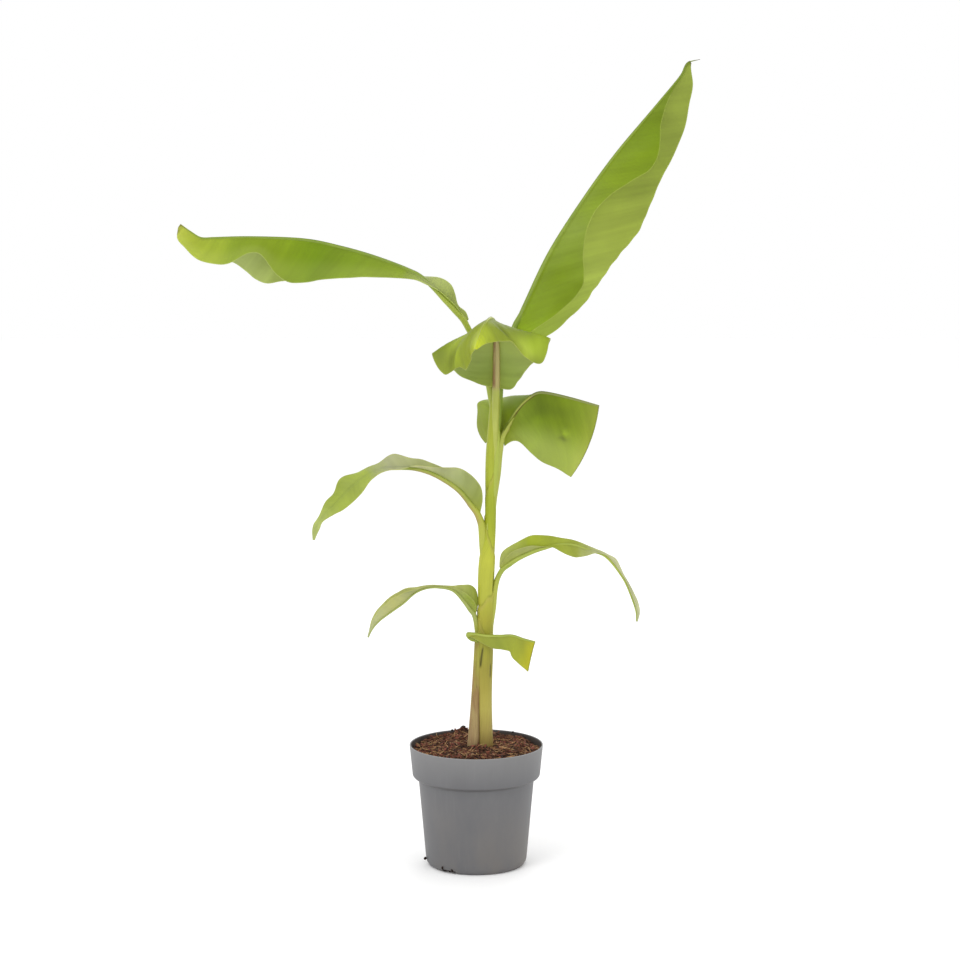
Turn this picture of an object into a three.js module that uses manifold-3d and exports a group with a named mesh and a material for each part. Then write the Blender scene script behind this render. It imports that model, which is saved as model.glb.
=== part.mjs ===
// Young banana plant in a grower's pot: one pseudostem with an outer sheath, eight leaves,
// a pot of plain plastic and the bark mix that fills it.
// Millimetres, +Z up. The origin is the centre of the pot's flat underside, and -Y is the front.
import * as THREE from 'three';
import { mergeVertices } from 'three/addons/utils/BufferGeometryUtils.js';
import Module from 'manifold-3d';

const wasm = await Module();
wasm.setup();

// ---------------------------------------------------------------- driving dimensions
const CLEAR = 0.3; // gap between neighbouring solids

const POT = {
  height: 155,
  rimRadius: 85,
  bandHeight: 40, // collar round the top
  bandFootRadius: 81,
  bodyTopRadius: 73.5,
  baseRadius: 64,
  wall: 2.4,
  floor: 3,
  stepDrop: 4, // the collar turns in to the body over this height
  footRound: 5, // rounded edge round the underside
  rimRound: 1.2,
  sides: 48,
  drains: 3, // slots through the bottom edge
  drainWidth: 20,
  drainHeight: 4.2,
  drainReach: 10,
  drainTurn: 236, // degrees
};

const SOIL_TOP = 152; // flat round the stem
const SOIL_EDGE_DROP = 5;
const SOIL_FLAT_RADIUS = 40;

// pseudostem: height, sideways place of its axis, radius
const STEM = {
  keys: [
    [SOIL_TOP + CLEAR, 11.5, 10.3], [170, 11.4, 9.6], [212, 11, 9.1], [264, 11.5, 9.3],
    [310, 12.2, 9.2], [345, 12.6, 8.8], [392, 13.8, 8.5], [425, 17, 7.2], [455, 17.8, 7],
    [507, 18.2, 6.9], [535, 19.4, 7.3], [578, 22.5, 9.1], [600, 23.8, 9.6],
  ],
  step: 16.6,
  sides: 18,
};

// dried outer sheath that stands against the left side of the foot: height, thickness at its
// middle. It shares the stem's rings, so the two never touch between one ring and the next.
const SHEATH = {
  keys: [[SOIL_TOP + CLEAR, 13], [180, 11], [212, 8.6], [250, 6.4], [285, 4.6]],
  frontAngle: 40, // degrees from -X to its round front edge
  backAngle: 105, // degrees from -X to its thin back edge
  edge: 1,
  slices: 8, // from -X to either edge
};

// Each leaf: `rib` is the line of its petiole and midrib, `face` the way its upper side looks
// at [share of the rib, x, y, z]. `blade` is the share of the rib that carries the blade.
// A half blade has its width, its fold up from flat and its sweep along the rib, all against
// the share of the blade. `right` is the right-hand half of one who looks out along the leaf.
// `tube` is the radius of petiole and midrib, `steps` the number of cells along the blade and
// `across` from midrib to margin. A leaf that arches over a wide gap is two solids, an inner
// and an outer one, that part at the place on the axis given in `bend`.
const LEAVES = {
  leaf_upper_right: {
    rib: [[29, 3.6, 601], [32, 6, 636], [43, 12, 672], [62, 20, 716], [92, 32, 778],
      [132, 46, 840], [175, 58, 899], [225, 70, 958], [256, 79, 995], [260, 80, 1004],
      [264, 81, 1011], [271.5, 82, 1016], [282, 83, 1017.5]],
    face: [[0, -0.9, 0, 0.3], [0.3, -0.87, 0, 0.4], [1, -0.85, 0, 0.5]],
    blade: [0.17, 0.975],
    tube: [[0, 4.6], [0.2, 4.4], [0.9, 2.2], [0.975, 1.4], [1, 0.9]],
    thick: 5,
    steps: 24,
    right: {
      width: [[0, 24], [0.05, 36], [0.12, 50], [0.2, 58], [0.25, 52], [0.3, 40], [0.37, 27],
        [0.43, 22], [0.5, 25], [0.57, 35], [0.64, 46], [0.69, 46], [0.74, 34], [0.78, 22],
        [0.83, 12], [0.87, 6.5], [0.92, 2.5], [1, 1.5]],
      fold: [[0, -60], [0.2, -76], [1, -76]],
    },
    left: {
      width: [[0, 42], [0.06, 60], [0.17, 78], [0.26, 83], [0.36, 85], [0.46, 90], [0.53, 87],
        [0.65, 73], [0.76, 63], [0.84, 50], [0.91, 31], [0.95, 20], [0.98, 12], [1, 3]],
      fold: [[0, -60], [0.3, -66], [1, -68]],
    },
  },
  leaf_upper_left: {
    rib: [[18.5, 2.8, 601], [11, 4, 638], [-3, 1, 672], [-20, -4, 702], [-39, -10, 723],
      [-57, -16, 742], [-76, -22, 756], [-122, -36, 775], [-168, -48, 789], [-211, -58, 798],
      [-276, -66, 801], [-328, -76, 800.5], [-341, -79, 803], [-347.5, -80, 810],
      [-352.5, -81, 815], [-358, -82, 817]],
    face: [[0, 0.7, 0, 0.6], [0.3, 0.5, 0, 0.85], [0.4, 0.3, 0, 1], [1, 0, 0, 1]],
    bend: ['x', -62],
    blade: [0.2, 1],
    tube: [[0, 4.6], [0.3, 4.2], [0.9, 1.8], [1, 1.2]],
    thick: 5,
    steps: 26,
    right: {
      width: [[0, 5], [0.05, 12], [0.1, 16], [0.15, 16], [0.2, 9], [0.33, 22], [0.43, 35],
        [0.5, 44], [0.6, 57], [0.665, 62], [0.71, 65], [0.75, 58], [0.78, 47], [0.82, 35],
        [0.93, 20], [0.98, 12], [1, 4]],
      fold: [[0, 70], [0.14, 75], [0.2, 0], [0.27, -56], [0.4, -62], [1, -66]],
    },
    left: {
      width: [[0, 3], [0.08, 6], [0.16, 6], [0.22, 9], [0.33, 22], [0.43, 34], [0.5, 43],
        [0.6, 54], [0.65, 54], [0.69, 44], [0.735, 22], [0.775, 20], [0.84, 32], [0.89, 32],
        [0.95, 21], [0.985, 16], [1, 5]],
      fold: [[0, 30], [0.12, 20], [0.2, -60], [0.3, -76], [1, -76]],
    },
  },
  leaf_front_crown: {
    rib: [[24.5, -6.5, 601], [25, -9, 632], [25, -17, 662], [24, -34, 688], [20, -62, 702],
      [13, -96, 702], [6, -126, 691], [-1, -152, 672]],
    face: [[0, 0, 1, 0.1], [0.25, 0, 1, 0.3], [0.5, 0, 0.4, 1], [0.75, 0, -0.1, 1],
      [1, 0, -0.6, 1]],
    bend: ['y', -46],
    blade: [0.06, 1],
    tube: [[0, 4.6], [0.3, 4], [0.9, 1.4], [1, 1]],
    thick: 2.4,
    steps: 22,
    across: 4,
    right: {
      width: [[0, 6], [0.06, 24], [0.12, 38], [0.2, 56], [0.3, 68], [0.4, 80], [0.5, 87],
        [0.6, 92], [0.68, 80], [0.74, 71], [0.8, 66], [0.86, 42], [0.92, 19], [1, 1.5]],
      fold: [[0, -5], [0.3, -10], [0.4, -20], [0.5, -29], [0.55, -40], [0.6, -50],
        [0.74, -60], [0.8, -70], [1, -70]],
      sweep: [[0, -30], [0.3, -28], [0.42, -12], [0.5, 0], [1, 0]],
    },
    left: {
      width: [[0, 6], [0.06, 26], [0.14, 37], [0.25, 51], [0.35, 67], [0.45, 74], [0.52, 84],
        [0.58, 72], [0.66, 46], [0.74, 33], [0.84, 20], [0.93, 9], [1, 1.5]],
      fold: [[0, -5], [0.3, -8], [0.42, -18], [0.52, -42], [0.6, -48], [0.7, -42], [0.85, -46],
        [1, -40]],
      sweep: [[0, -45], [0.15, -40], [0.25, -33], [0.35, -25], [0.45, 0], [1, 0]],
    },
  },
  leaf_right_trimmed: {
    rib: [[27.8, 0, 507], [30, 0, 530], [34, 0, 551], [44, 1, 571], [56, 1, 589], [70, 0, 601],
      [83, -2, 605], [115, -8, 599], [153, -16, 589]],
    face: [[0, -1, 0, 0.1], [0.4, -0.8, 0, 0.6], [0.7, -0.2, -0.1, 1], [1, 0, -0.1, 1]],
    blade: [0.22, 1],
    tube: [[0, 2.5], [0.12, 3.2], [0.24, 3.8], [1, 1.8]],
    thick: 2.2,
    steps: 22,
    across: 4,
    right: {
      width: [[0, 13], [0.1, 21], [0.2, 30], [0.3, 53], [0.4, 73], [0.5, 88], [0.6, 90],
        [0.8, 91], [1, 97]],
      fold: [[0, -80], [1, -80]],
      sweep: [[0, -64], [0.1, -54], [0.2, -48], [0.3, -44], [0.4, -32], [0.45, -22],
        [0.5, -6], [0.55, 4], [0.6, 5], [0.8, 2], [1, -6]],
    },
    left: {
      width: [[0, 38], [0.06, 59], [0.12, 66], [0.2, 68], [0.3, 60], [0.4, 60], [0.6, 58],
        [0.8, 57], [1, 50]],
      fold: [[0, 32], [0.12, 36], [0.2, 40], [0.3, 20], [0.4, 0], [0.52, -50], [0.7, -74],
        [1, -76]],
      sweep: [[0, -28], [0.06, -16], [0.12, -10], [0.2, -11], [0.3, -16], [0.4, -19], [0.6, 0],
        [0.8, -6], [1, -18]],
    },
  },
  leaf_left_middle: {
    rib: [[6.3, 0, 415], [4.5, -2, 440], [-5, -5, 462], [-20, -10, 482], [-38, -16, 496],
      [-58, -22, 507], [-79, -28, 513], [-100, -34, 514], [-119, -40, 513], [-137, -44, 505],
      [-154, -48, 492], [-170, -52, 476], [-185, -56, 461], [-197, -58, 445],
      [-201, -60, 427]],
    face: [[0, 1, 0, 0.2], [0.25, 0.6, 0, 0.8], [0.5, 0, 0, 1], [0.6, -0.1, -0.3, 1],
      [0.7, -0.5, -1, 0.7], [1, -0.5, -1, 0.5]],
    bend: ['x', -96],
    blade: [0.12, 1],
    tube: [[0, 2], [0.08, 3.8], [0.2, 3.4], [0.9, 1.2], [1, 0.9]],
    thick: 2.8,
    steps: 22,
    right: {
      width: [[0, 3], [0.05, 12], [0.1, 19], [0.16, 20], [0.26, 12], [0.34, 13], [0.4, 12],
        [0.47, 19], [0.54, 12], [0.62, 14], [0.72, 18], [0.8, 14], [0.85, 9.5], [0.9, 4.8],
        [0.94, 5.4], [1, 1.5]],
      fold: [[0, 75], [0.3, 65], [0.47, 62], [0.56, 10], [1, 0]],
    },
    left: {
      width: [[0, 4], [0.05, 16], [0.1, 24], [0.16, 26], [0.25, 18], [0.32, 10], [0.42, 9],
        [0.5, 9], [0.6, 11], [0.72, 18], [0.8, 14], [0.85, 9.5], [0.9, 4.8], [0.94, 5.4],
        [1, 1.5]],
      fold: [[0, 75], [0.22, 72], [0.34, 40], [0.45, 0], [1, 0]],
    },
  },
  leaf_right_lower: {
    rib: [[23.9, 0, 336], [25.4, 0, 350], [27.4, 0, 364], [31.5, -1, 376], [40, -3, 387],
      [53, -4, 396], [72, -6, 405], [87, -7, 410], [102, -8, 414], [121, -10, 414],
      [138, -11, 409], [151, -12, 404.5], [162, -13, 400], [171, -14, 391], [180, -15, 379],
      [188, -16, 366], [196, -18, 346], [201, -19, 330], [201.5, -20, 317]],
    face: [[0, -1, 0, 0.2], [0.25, -0.6, 0, 0.8], [0.5, 0, 0, 1], [0.8, 0.6, 0, 0.8],
      [1, 1, 0, 0.4]],
    bend: ['x', 108],
    blade: [0.16, 1],
    tube: [[0, 2.3], [0.08, 3.4], [0.3, 2.6], [0.9, 1], [1, 0.8]],
    thick: 2.7,
    steps: 20,
    right: {
      width: [[0, 4], [0.05, 9], [0.1, 11], [0.18, 9], [0.25, 4], [0.29, 3], [0.35, 11],
        [0.4, 15], [0.45, 15.5], [0.5, 10], [0.55, 3], [0.65, 2.5], [0.8, 2.5], [0.9, 2.5],
        [1, 1.5]],
      fold: [[0, 75], [0.2, 72], [0.25, 35], [0.3, -30], [0.36, -65], [0.5, -70], [0.57, 0],
        [0.64, 65], [1, 70]],
    },
    left: {
      width: [[0, 5], [0.05, 16], [0.1, 18], [0.2, 19.5], [0.26, 16.5], [0.35, 8], [0.45, 5],
        [0.55, 3.5], [0.6, 3.5], [0.65, 7], [0.7, 5], [0.75, 3], [0.85, 5], [0.9, 6], [0.95, 5],
        [1, 1.5]],
      fold: [[0, 75], [0.3, 70], [0.6, 60], [1, 65]],
    },
  },
  leaf_left_lower: {
    rib: [[0.4, 0, 298], [-2, -2, 316], [-7, -4, 330], [-17, -8, 344], [-29, -12, 356],
      [-44, -15, 360], [-61, -18, 360], [-77, -22, 354], [-91, -26, 342], [-107, -30, 331],
      [-122, -34, 320], [-131, -36, 309], [-135, -37, 300]],
    face: [[0, 1, 0, 0.2], [0.3, 0.6, 0, 0.8], [0.5, 0, 0, 1], [0.75, -0.6, 0, 1],
      [1, -0.7, 0, 0.6]],
    bend: ['x', -60],
    blade: [0.13, 1],
    tube: [[0, 2.1], [0.1, 2.8], [0.3, 2], [0.9, 0.9], [1, 0.7]],
    thick: 2,
    steps: 18,
    right: {
      width: [[0, 2], [0.05, 11], [0.1, 16], [0.15, 12], [0.2, 7.5], [0.25, 3.5], [0.32, 2.5],
        [0.4, 3.5], [0.48, 7], [0.55, 13], [0.62, 16], [0.7, 17], [0.8, 14], [0.88, 9],
        [0.95, 3], [1, 1.5]],
      fold: [[0, 75], [0.3, 60], [0.45, 25], [0.58, 45], [0.7, 62], [1, 60]],
    },
    left: {
      width: [[0, 2], [0.05, 8], [0.1, 10], [0.15, 9], [0.2, 6], [0.25, 3], [0.32, 2],
        [0.4, 2.5], [0.48, 5], [0.55, 11], [0.62, 14], [0.7, 15], [0.8, 14], [0.88, 9],
        [0.95, 3], [1, 1.5]],
      fold: [[0, 75], [0.25, 70], [0.4, 30], [0.55, 45], [0.7, 65], [1, 60]],
    },
  },
  leaf_lowest_trimmed: {
    rib: [[-1, -5, 286.4], [-9, -10, 294], [-10, -14, 301], [-2, -17, 301], [12, -18, 299],
      [30, -20, 299], [45, -23, 300], [60, -27, 296], [74, -31, 293]],
    face: [[0, -0.6, 0, -0.6], [0.25, 0, 0, 1], [1, 0, 0, 1]],
    blade: [0.2, 1],
    tube: [[0, 1.8], [0.12, 2.6], [1, 1.2]],
    thick: 1.4,
    steps: 14,
    right: {
      width: [[0, 3], [0.2, 10], [0.35, 16], [0.5, 18], [0.66, 23], [0.82, 31], [1, 39]],
      fold: [[0, -60], [0.3, -80], [1, -80]],
    },
    left: {
      width: [[0, 2], [0.2, 5], [0.45, 8], [0.7, 14], [1, 22]],
      fold: [[0, -60], [0.3, -70], [1, -70]],
    },
  },
};

const BLADE_ACROSS = 2; // for a leaf without a number of its own
const TUBE_SIDES = 6;
const PATH_SAMPLES = 40; // per stretch of a rib, while its length is measured

const COLOURS = {
  pot: 0x737271,
  soil: 0x4a2c1e,
  pseudostem: 0xb2b552,
  outer_sheath: 0x9a8862,
  leaf: 0x7f9a33,
};

// ---------------------------------------------------------------- small helpers
const radians = THREE.MathUtils.degToRad;

// smooth values through [place, value, ...] keys
function track(keys, at) {
  const last = keys.length - 1;
  const t = Math.min(Math.max(at, keys[0][0]), keys[last][0]);
  let i = 0;
  while (i < last - 1 && t >= keys[i + 1][0]) i += 1;
  const slope = (k, c) => {
    const a = keys[Math.max(k - 1, 0)];
    const b = keys[Math.min(k + 1, last)];
    return (b[c] - a[c]) / (b[0] - a[0]);
  };
  const h = keys[i + 1][0] - keys[i][0];
  const s = (t - keys[i][0]) / h;
  const value = (c) => (2 * s ** 3 - 3 * s ** 2 + 1) * keys[i][c]
    + (s ** 3 - 2 * s ** 2 + s) * h * slope(i, c)
    + (3 * s ** 2 - 2 * s ** 3) * keys[i + 1][c]
    + (s ** 3 - s ** 2) * h * slope(i + 1, c);
  return keys[0].slice(1).map((_, c) => value(c + 1));
}

// points at even distances along a smooth line through the given ones
function evenPath(points, count) {
  const p = points.map((v) => new THREE.Vector3(...v));
  p.unshift(p[0].clone().multiplyScalar(2).sub(p[1]));
  p.push(p[p.length - 1].clone().multiplyScalar(2).sub(p[p.length - 2]));
  const dense = [];
  for (let i = 1; i < p.length - 2; i += 1) {
    const m0 = p[i + 1].clone().sub(p[i - 1]).multiplyScalar(0.5);
    const m1 = p[i + 2].clone().sub(p[i]).multiplyScalar(0.5);
    for (let k = 0; k < PATH_SAMPLES; k += 1) {
      const s = k / PATH_SAMPLES;
      dense.push(new THREE.Vector3()
        .addScaledVector(p[i], 2 * s ** 3 - 3 * s ** 2 + 1)
        .addScaledVector(m0, s ** 3 - 2 * s ** 2 + s)
        .addScaledVector(p[i + 1], 3 * s ** 2 - 2 * s ** 3)
        .addScaledVector(m1, s ** 3 - s ** 2));
    }
  }
  dense.push(p[p.length - 2].clone());
  const run = [0];
  for (let i = 1; i < dense.length; i += 1) {
    run.push(run[i - 1] + dense[i].distanceTo(dense[i - 1]));
  }
  const out = [];
  let k = 0;
  for (let i = 0; i <= count; i += 1) {
    const goal = run[run.length - 1] * i / count;
    while (k < run.length - 2 && run[k + 1] < goal) k += 1;
    const s = (goal - run[k]) / (run[k + 1] - run[k]);
    out.push(dense[k].clone().lerp(dense[k + 1], s));
  }
  return out;
}

// closed skin over rings of equal, even size. The flat lid on each end is a strip from the
// ring's first and last points to its middle, so a ring may be a C as well as a circle.
function skinRings(rings) {
  const size = rings[0].length;
  const xyz = rings.flat().flatMap((v) => [v.x, v.y, v.z]);
  const faces = [];
  for (let i = 0; i < rings.length - 1; i += 1) {
    for (let j = 0; j < size; j += 1) {
      const a = i * size + j;
      const b = i * size + (j + 1) % size;
      faces.push(a, b, b + size, a, b + size, a + size);
    }
  }
  const end = (rings.length - 1) * size;
  for (let j = 0; j < size / 2 - 1; j += 1) {
    const [a, b, c, d] = [j, j + 1, size - 2 - j, size - 1 - j];
    faces.push(a, c, b, a, d, c);
    faces.push(end + a, end + b, end + c, end + a, end + c, end + d);
  }
  return { xyz, faces };
}

function toSolid({ xyz, faces }) {
  return new wasm.Manifold(new wasm.Mesh({
    numProp: 3,
    vertProperties: new Float32Array(xyz),
    triVerts: new Uint32Array(faces),
  }));
}

function geometryToSolid(geometry) {
  const bare = geometry.clone();
  bare.deleteAttribute('normal');
  bare.deleteAttribute('uv');
  const merged = mergeVertices(bare, 1e-4);
  return toSolid({ xyz: merged.attributes.position.array, faces: merged.index.array });
}

function toMesh(name, solid, colour, roughness) {
  const out = solid.getMesh();
  const geometry = new THREE.BufferGeometry();
  geometry.setAttribute('position', new THREE.BufferAttribute(out.vertProperties, 3));
  geometry.setIndex(new THREE.BufferAttribute(out.triVerts, 1));
  geometry.computeVertexNormals();
  const material = new THREE.MeshStandardMaterial({ color: colour, roughness, metalness: 0 });
  const mesh = new THREE.Mesh(geometry, material);
  mesh.name = name;
  return mesh;
}

// solid of revolution about +Z from an [radius, height] profile that starts and ends on the axis
function lathe(profile, sides) {
  const points = profile.map(([r, z]) => new THREE.Vector2(r, z));
  const geometry = new THREE.LatheGeometry(points, sides);
  geometry.rotateX(Math.PI / 2);
  return geometryToSolid(geometry);
}

// ---------------------------------------------------------------- pot and soil
function potOuter() {
  const bandFoot = POT.height - POT.bandHeight;
  return [
    [POT.baseRadius - POT.footRound, 0],
    [POT.baseRadius - POT.footRound * 0.3, POT.footRound * 0.3],
    [POT.baseRadius, POT.footRound],
    [POT.bodyTopRadius, bandFoot - POT.stepDrop],
    [POT.bandFootRadius, bandFoot],
    [POT.rimRadius - 0.4, POT.height - POT.rimRound],
    [POT.rimRadius - POT.rimRound, POT.height],
  ];
}

function potInner(offset) {
  const bandFoot = POT.height - POT.bandHeight;
  return [
    [POT.baseRadius - POT.footRound - offset * 0.5, POT.floor],
    [POT.baseRadius - offset + 0.4, POT.footRound + POT.floor],
    [POT.bodyTopRadius - offset, bandFoot - POT.stepDrop + 1],
    [POT.bandFootRadius - offset, bandFoot + 1],
    [POT.rimRadius - POT.rimRound - offset, POT.height],
  ];
}

function makePot() {
  const inner = potInner(POT.wall).reverse();
  let solid = lathe([[0, 0], ...potOuter(), ...inner, [0, POT.floor]], POT.sides);
  for (let k = 0; k < POT.drains; k += 1) {
    const slot = new THREE.BoxGeometry(POT.drainReach * 2, POT.drainWidth, POT.drainHeight * 2);
    slot.translate(POT.baseRadius, 0, 0);
    slot.rotateZ(radians(POT.drainTurn + 360 * k / POT.drains));
    solid = solid.subtract(geometryToSolid(slot));
  }
  return solid;
}

function makeSoil() {
  const edge = SOIL_TOP - SOIL_EDGE_DROP;
  const wall = potInner(POT.wall + CLEAR);
  const [, , , foot, top] = wall;
  const share = (edge - foot[1]) / (top[1] - foot[1]);
  const rimRadius = foot[0] + (top[0] - foot[0]) * share;
  const bed = wall.slice(0, 4).map(([r, z]) => [r, z + CLEAR]);
  return lathe([[0, POT.floor + CLEAR], ...bed, [rimRadius, edge],
    [SOIL_FLAT_RADIUS, SOIL_TOP], [0, SOIL_TOP]], POT.sides);
}

// ---------------------------------------------------------------- stem and sheath
function levels(keys, step) {
  const low = keys[0][0];
  const high = keys[keys.length - 1][0];
  const count = Math.ceil((high - low) / step);
  return Array.from({ length: count + 1 }, (_, i) => low + (high - low) * i / count);
}

function makeStem() {
  const rings = levels(STEM.keys, STEM.step).map((z) => {
    const [x, radius] = track(STEM.keys, z);
    return Array.from({ length: STEM.sides }, (_, j) => {
      const a = 2 * Math.PI * j / STEM.sides;
      return new THREE.Vector3(x + radius * Math.cos(a), radius * Math.sin(a), z);
    });
  });
  return toSolid(skinRings(rings));
}

function makeSheath() {
  const facetGap = 1 / Math.cos(Math.PI / STEM.sides);
  const top = SHEATH.keys[SHEATH.keys.length - 1][0];
  const heights = levels(STEM.keys, STEM.step).filter((z) => z <= top);
  const rings = heights.map((z) => {
    const [x, radius] = track(STEM.keys, z);
    const [middle] = track(SHEATH.keys, z);
    const inner = radius * facetGap + 2 * CLEAR;
    const place = (share, extra) => {
      const sweep = share > 0 ? SHEATH.frontAngle : SHEATH.backAngle;
      const a = Math.PI + radians(sweep) * share;
      const r = inner + extra;
      return new THREE.Vector3(x + r * Math.cos(a), r * Math.sin(a), z);
    };
    const shares = Array.from({ length: 2 * SHEATH.slices + 1 }, (_, j) => j / SHEATH.slices - 1);
    const outer = shares.map((share) => {
      const bulge = share > 0 ? Math.sqrt(1 - share ** 2) : Math.cos(share * Math.PI / 2) ** 2;
      return place(share, SHEATH.edge + (middle - SHEATH.edge) * bulge);
    });
    const back = shares.map((share) => place(share, 0)).reverse();
    return [...outer, ...back];
  });
  return toSolid(skinRings(rings));
}

// ---------------------------------------------------------------- leaves
// the line of the rib with, at each point, its direction, its upper side and its right hand
function ribFrame(leaf, count) {
  const points = evenPath(leaf.rib, count);
  return points.map((point, i) => {
    const share = i / count;
    const ahead = points[Math.min(i + 1, count)].clone().sub(points[Math.max(i - 1, 0)]);
    const along = ahead.normalize();
    const up = new THREE.Vector3(...track(leaf.face, share));
    up.addScaledVector(along, -up.dot(along)).normalize();
    const right = along.clone().cross(up);
    return { point, along, up, right, share };
  });
}

// frame at any share of the rib, from the two samples beside it
function frameAt(frames, share) {
  const last = frames.length - 1;
  const i = Math.min(Math.floor(share * last), last - 1);
  const s = share * last - i;
  const mix = (name) => frames[i][name].clone().lerp(frames[i + 1][name], s);
  const unit = (name) => mix(name).normalize();
  return { point: mix('point'), along: unit('along'), up: unit('up'), right: unit('right') };
}

function halfBlade(leaf, frames, side) {
  const half = leaf[side];
  const sign = side === 'right' ? 1 : -1;
  const [start, end] = leaf.blade;
  const across = leaf.across ?? BLADE_ACROSS;
  const grid = [];
  const lines = [];
  for (let i = 0; i <= leaf.steps; i += 1) {
    const u = i / leaf.steps;
    const f = frameAt(frames, start + (end - start) * u);
    lines.push(f.along);
    const [width] = track(half.width, u);
    const fold = radians(track(half.fold, u)[0]);
    const sweep = half.sweep ? radians(track(half.sweep, u)[0]) : 0;
    const reach = f.right.clone().multiplyScalar(sign * Math.cos(fold) * Math.cos(sweep))
      .addScaledVector(f.up, Math.sin(fold) * Math.cos(sweep))
      .addScaledVector(f.along, Math.sin(sweep));
    grid.push(Array.from({ length: across + 1 }, (_, j) => f.point.clone()
      .addScaledVector(reach, Math.max(width, 1) * j / across)));
  }
  return thicken(grid, lines, leaf.thick / 2, sign);
}

// closed slab round a grid of points. Its thickness is laid off square to the rows and to the
// mean of the margin's way and the rib's, so the two faces keep apart where a margin turns back.
function thicken(grid, lines, offset, sign) {
  const rows = grid.length;
  const columns = grid[0].length;
  const normal = (i, j) => {
    const low = Math.max(i - 1, 0);
    const high = Math.min(i + 1, rows - 1);
    const du = grid[high][j].clone().sub(grid[low][j]).normalize().add(lines[i]);
    const dv = grid[i][Math.min(j + 1, columns - 1)].clone().sub(grid[i][Math.max(j - 1, 0)]);
    return dv.cross(du).multiplyScalar(sign).normalize();
  };
  const shift = (by) => grid.map((row, i) => row.map((p, j) => p.clone()
    .addScaledVector(normal(i, j), by)));
  const top = shift(offset);
  const bottom = shift(-offset);
  const rings = top.map((row, i) => [...row, ...bottom[i].slice().reverse()]);
  const skin = skinRings(rings);
  if (sign < 0) {
    for (let k = 0; k < skin.faces.length; k += 3) {
      [skin.faces[k + 1], skin.faces[k + 2]] = [skin.faces[k + 2], skin.faces[k + 1]];
    }
  }
  return toSolid(skin);
}

function makeRib(leaf, frames) {
  const rings = frames.map((f) => {
    const [radius] = track(leaf.tube, f.share);
    return Array.from({ length: TUBE_SIDES }, (_, j) => {
      const a = 2 * Math.PI * j / TUBE_SIDES;
      return f.point.clone().addScaledVector(f.right, radius * Math.cos(a))
        .addScaledVector(f.up, -radius * Math.sin(a));
    });
  });
  return toSolid(skinRings(rings));
}

function makeLeaf(leaf) {
  const frames = ribFrame(leaf, leaf.steps + 6);
  return makeRib(leaf, frames)
    .add(halfBlade(leaf, frames, 'left'))
    .add(halfBlade(leaf, frames, 'right'));
}

// the largest body of a solid: a scrap pinched off where the blade turns over is dropped
function mainBody(solid) {
  return solid.decompose().sort((a, b) => b.volume() - a.volume())[0];
}

// named solids of one leaf: itself, or what lies inside and outside its bend
function partLeaf(name, leaf) {
  const whole = makeLeaf(leaf);
  if (!leaf.bend) return [[name, mainBody(whole)]];
  const [axis, place] = leaf.bend;
  const outward = new THREE.Vector3();
  outward[axis] = Math.sign(place);
  const inward = outward.clone().negate();
  const reach = Math.abs(place);
  return [
    [`${name}_inner`, mainBody(whole.trimByPlane(inward.toArray(), CLEAR / 2 - reach))],
    [`${name}_outer`, mainBody(whole.trimByPlane(outward.toArray(), reach + CLEAR / 2))],
  ];
}

// ---------------------------------------------------------------- the plant
const group = new THREE.Group();
group.add(toMesh('pot', makePot(), COLOURS.pot, 0.5));
group.add(toMesh('soil', makeSoil(), COLOURS.soil, 0.95));
group.add(toMesh('pseudostem', makeStem(), COLOURS.pseudostem, 0.5));
group.add(toMesh('outer_sheath', makeSheath(), COLOURS.outer_sheath, 0.6));
for (const [leafName, leaf] of Object.entries(LEAVES)) {
  for (const [name, solid] of partLeaf(leafName, leaf)) {
    group.add(toMesh(name, solid, COLOURS.leaf, 0.5));
  }
}

export default group;
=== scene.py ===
"""Looks of a young banana plant in a grower's pot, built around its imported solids.

Lengths are written in millimetres in the frame of the solids (+Z up, -Y the front, the origin
under the pot) and become metres where a mesh is made. Each leaf, the stem and the outer sheath
grow by the same rules as the solids and from nearly the same sizes, in a finer grid with the
relief of the real surface.
"""
import math

import bpy
import numpy as np
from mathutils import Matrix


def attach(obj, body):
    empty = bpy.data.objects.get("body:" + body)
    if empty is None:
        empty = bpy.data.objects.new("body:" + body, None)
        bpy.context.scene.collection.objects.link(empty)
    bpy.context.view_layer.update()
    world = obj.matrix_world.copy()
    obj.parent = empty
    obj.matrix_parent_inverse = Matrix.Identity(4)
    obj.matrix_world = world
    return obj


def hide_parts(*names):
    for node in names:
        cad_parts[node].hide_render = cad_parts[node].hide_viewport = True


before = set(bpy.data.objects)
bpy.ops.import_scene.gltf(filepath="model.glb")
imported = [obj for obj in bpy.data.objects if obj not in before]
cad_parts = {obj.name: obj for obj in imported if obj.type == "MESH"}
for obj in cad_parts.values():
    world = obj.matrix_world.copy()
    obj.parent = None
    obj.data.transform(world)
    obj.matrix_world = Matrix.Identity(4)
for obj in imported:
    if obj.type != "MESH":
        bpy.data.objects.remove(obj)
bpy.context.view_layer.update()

MM = 0.001
ROUND = 2 * math.pi

# ---------------------------------------------------------------- driving sizes
POT = {
    "height": 155,
    "rim_radius": 84.9,
    "band_height": 40,
    "band_foot_radius": 81,
    "body_top_radius": 73.5,
    "base_radius": 64,
    "wall": 1.8,
    "floor": 3,
    "step_drop": 4,
    "foot_round": 5,
    "drains": 3,
    "drain_width": 20,
    "drain_height": 4.2,
    "drain_reach": 10,
    "drain_turn": 236,  # degrees
    "dish": 1.2,  # how far the middle of the underside stands off the floor
    "dish_edge": 12.5,  # from the foot's radius in to the dish
    "sides": 160,
}
SOIL_TOP = 152
SOIL_EDGE_DROP = 5
SOIL_FLAT_RADIUS = 40
SOIL_BACK_RISE = 3.5
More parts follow.
